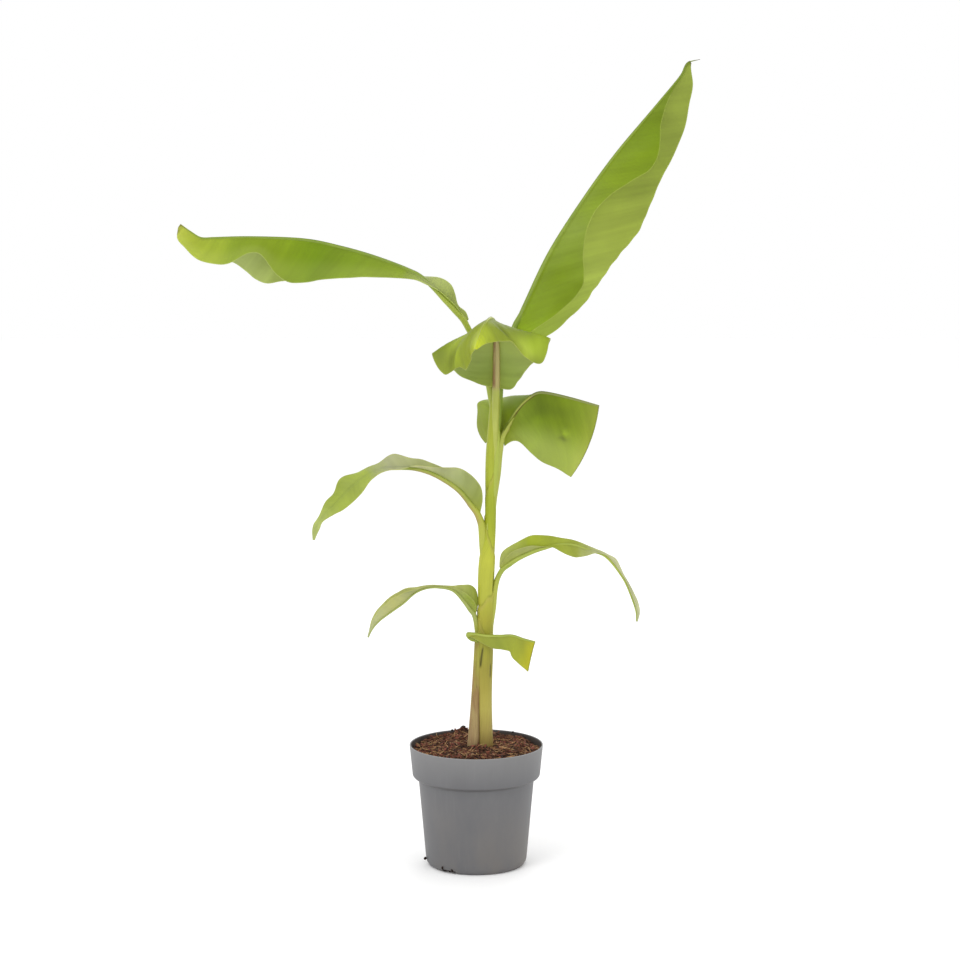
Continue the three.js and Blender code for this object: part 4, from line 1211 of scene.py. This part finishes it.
def make_soil():
    angle = around(220)
    r = np.linspace(0, 1, 56)[1:, None] * soil_radius(SOIL_TOP)
    x, y = r * np.cos(angle), r * np.sin(angle)
    top = np.stack([x, y, soil_height(x, y)], -1)
    wall = [circle(soil_radius(z), angle, z) for z in (134, 110, 60, 6)]
    points, faces = tube(np.concatenate([top, np.array(wall)]))
    dark = crumb_finish("mix_body", (38, 26, 18), (84, 56, 38))
    add_piece("soil_body", points, faces, [dark], stands_for=["soil"])


def chip(dice, size):
    """A flake of bark: two rough rings and two blunt ends."""
    sides = 6
    rings = []
    for where, girth in ((-1, 0.45), (-0.45, 1), (0.45, 0.9), (1, 0.4)):
        wobble = dice.uniform(0.75, 1.2, sides)
        along = where * size[0] + dice.normal(0, 0.08 * size[0], sides)
        cross = circle(girth * wobble, around(sides), 0)[:, :2] * size[1:]
        rings.append(np.hstack([along[:, None], cross]))
    return tube(np.array(rings))


def fibre(dice, length, girth):
    """A bent coir fibre of four sides."""
    t = np.linspace(-1, 1, 7)
    bend = dice.normal(0, 0.18 * length, 3)
    path = np.stack([t * length, bend[0] * t**2 + bend[1] * t**3, bend[2] * t**2 * 0.5], -1)
    section = circle(girth, around(4), 0)[:, [2, 0, 1]]
    taper = (1 - 0.6 * np.abs(t) ** 3)[:, None, None]
    return tube(path[:, None] + section[None] * taper)


def turned(points, dice, flat):
    """The points turned at random. flat is how far they usually tip from level, in radians."""
    yaw, pitch, roll = dice.uniform(0, ROUND), dice.normal(0, flat), dice.normal(0, flat * 1.6)
    cy, sy, cp, sp, cr, sr = (f(a) for a in (yaw, pitch, roll) for f in (math.cos, math.sin))
    turn = (
        np.array([[cy, -sy, 0], [sy, cy, 0], [0, 0, 1]])
        @ np.array([[cp, 0, sp], [0, 1, 0], [-sp, 0, cp]])
        @ np.array([[1, 0, 0], [0, cr, -sr], [0, sr, cr]])
    )
    return points @ turn.T


def laid(points, dice, edge, flat):
    """One bit of litter, laid on the mix clear of the stem's foot."""
    points = turned(points, dice, flat)
    while True:
        reach, turn = edge * math.sqrt(dice.uniform(0, 1)), dice.uniform(0, ROUND)
        x, y = reach * math.cos(turn), reach * math.sin(turn)
        if all(math.hypot(x - foot_x, y - foot_y) > radius for foot_x, foot_y, radius in FEET):
            break
    points = points + [x, y, float(soil_height(x, y)) + dice.uniform(0.0, 1.8)]
    over = max(0.0, float(np.hypot(points[:, 0], points[:, 1]).max()) - edge)
    points[:, :2] -= np.array([x, y]) / max(reach, 1) * over
    return points


def add_heap(name, bits, finish):
    """All the bits, each of them (points, faces), in one piece."""
    faces, start = [], 0
    for points, skin in bits:
        faces.extend([[a + start for a in f] for f in skin])
        start += len(points)
    add_piece(name, np.vstack([points for points, _ in bits]), faces, [finish])


def make_litter():
    """Chips, crumbs and fibres on the mix, each kind of colour in its own piece."""
    dice = np.random.default_rng(12)
    edge = soil_radius(SOIL_TOP) - 2
    for name, finish, count, dark, light, flat in LITTER:
        bits = []
        for _ in range(count):
            if "chips" in name:
                points, skin = chip(dice, dice.uniform((1, 0.6, 0.35), (4, 1.8, 1)))
            else:
                points, skin = fibre(dice, *dice.uniform((4, 0.22), (11, 0.42)))
            bits.append((laid(points, dice, edge, flat), skin))
        add_heap(name, bits, crumb_finish(finish, dark, light))


def make_crumbs():
    """The dark flake on the back of the rim, a few single crumbs, and those at a drain slot."""
    dice = np.random.default_rng(4)
    crumbs = list(CRUMBS)
    for _ in range(16):
        spot = drain_angles()[0] + dice.uniform(-0.15, 0.15)
        place = circle(POT["base_radius"] - dice.uniform(0.2, 4.5), spot, dice.uniform(2.8, 6.5))
        crumbs.append((place, dice.uniform(1.0, 1.9, 3)))
    bits = []
    for place, size in crumbs:
        points, skin = chip(dice, np.array(size))
        points = turned(points, dice, 0.2) + place
        points[:, 2] = np.maximum(points[:, 2], 0.1)
        bits.append((points, skin))
    add_heap("soil_crumbs_outside", bits, crumb_finish("crumb_dark", (24, 17, 14), (52, 34, 26)))


# ---------------------------------------------------------------- camera, light and floor
# in metres, degrees up from straight down, and millimetres
CAMERA = {"place": (0.0047, -3.4, 0.959), "tilt": 82.21, "lens": 102.5, "sensor": 36}
# name, place and diameter in metres, watts
LAMPS = [
    ("key", (-1.7, -2.3, 2.6), 1.8, 34), ("fill", (2.2, -1.6, 1.5), 1.8, 8),
    ("back", (0.6, 2.6, 2.2), 2.0, 18),
]
LAMPS_AIM = (0, 0, 0.55)
FLOOR_HALF = 8.0


def make_stage():
    scene = bpy.context.scene
    camera = bpy.data.cameras.new("camera")
    camera.lens = CAMERA["lens"]
    camera.sensor_width = CAMERA["sensor"]
    holder = bpy.data.objects.new("camera", camera)
    holder.location = CAMERA["place"]
    holder.rotation_euler = (math.radians(CAMERA["tilt"]), 0, 0)
    scene.collection.objects.link(holder)
    scene.camera = holder
    for name, place, size, power in LAMPS:
        light = bpy.data.lights.new(name, "AREA")
        light.shape = "DISK"
        light.size = size
        light.energy = power
        lamp = bpy.data.objects.new(name, light)
        lamp.location = place
        x, y, z = np.subtract(LAMPS_AIM, place)
        lamp.rotation_euler = (math.atan2(math.hypot(x, y), -z), 0, math.atan2(-x, y))
        scene.collection.objects.link(lamp)
    world = bpy.data.worlds.new("studio")
    world.use_nodes = True
    sky = world.node_tree.nodes["Background"].inputs
    sky[0].default_value = (1, 1, 1, 1)
    sky[1].default_value = 1.0
    scene.world = world
    scene.view_settings.view_transform = "Standard"
    corners = [(x * FLOOR_HALF, y * FLOOR_HALF, 0) for x, y in ((-1, -1), (1, -1), (1, 1), (-1, 1))]
    mesh = bpy.data.meshes.new("floor")
    mesh.from_pydata(corners, [], [(0, 1, 2, 3)])
    finish = Finish("floor", Roughness=0.9, Specular_IOR_Level=0.1, Base_Color=(1, 1, 1, 1))
    mesh.materials.append(finish.material)
    floor = bpy.data.objects.new("floor", mesh)
    scene.collection.objects.link(floor)


# ---------------------------------------------------------------- the plant
make_stage()
make_pot()
make_soil()
make_litter()
make_crumbs()
make_stem()
make_outer_sheath()
packed = list(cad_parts)
for leaf_name, leaf_sizes in LEAVES.items():
    nodes = [node for node in packed if node.startswith(leaf_name)]
    make_leaf(leaf_name, leaf_sizes, {**PLAIN, **LOOKS[leaf_name]}, nodes)
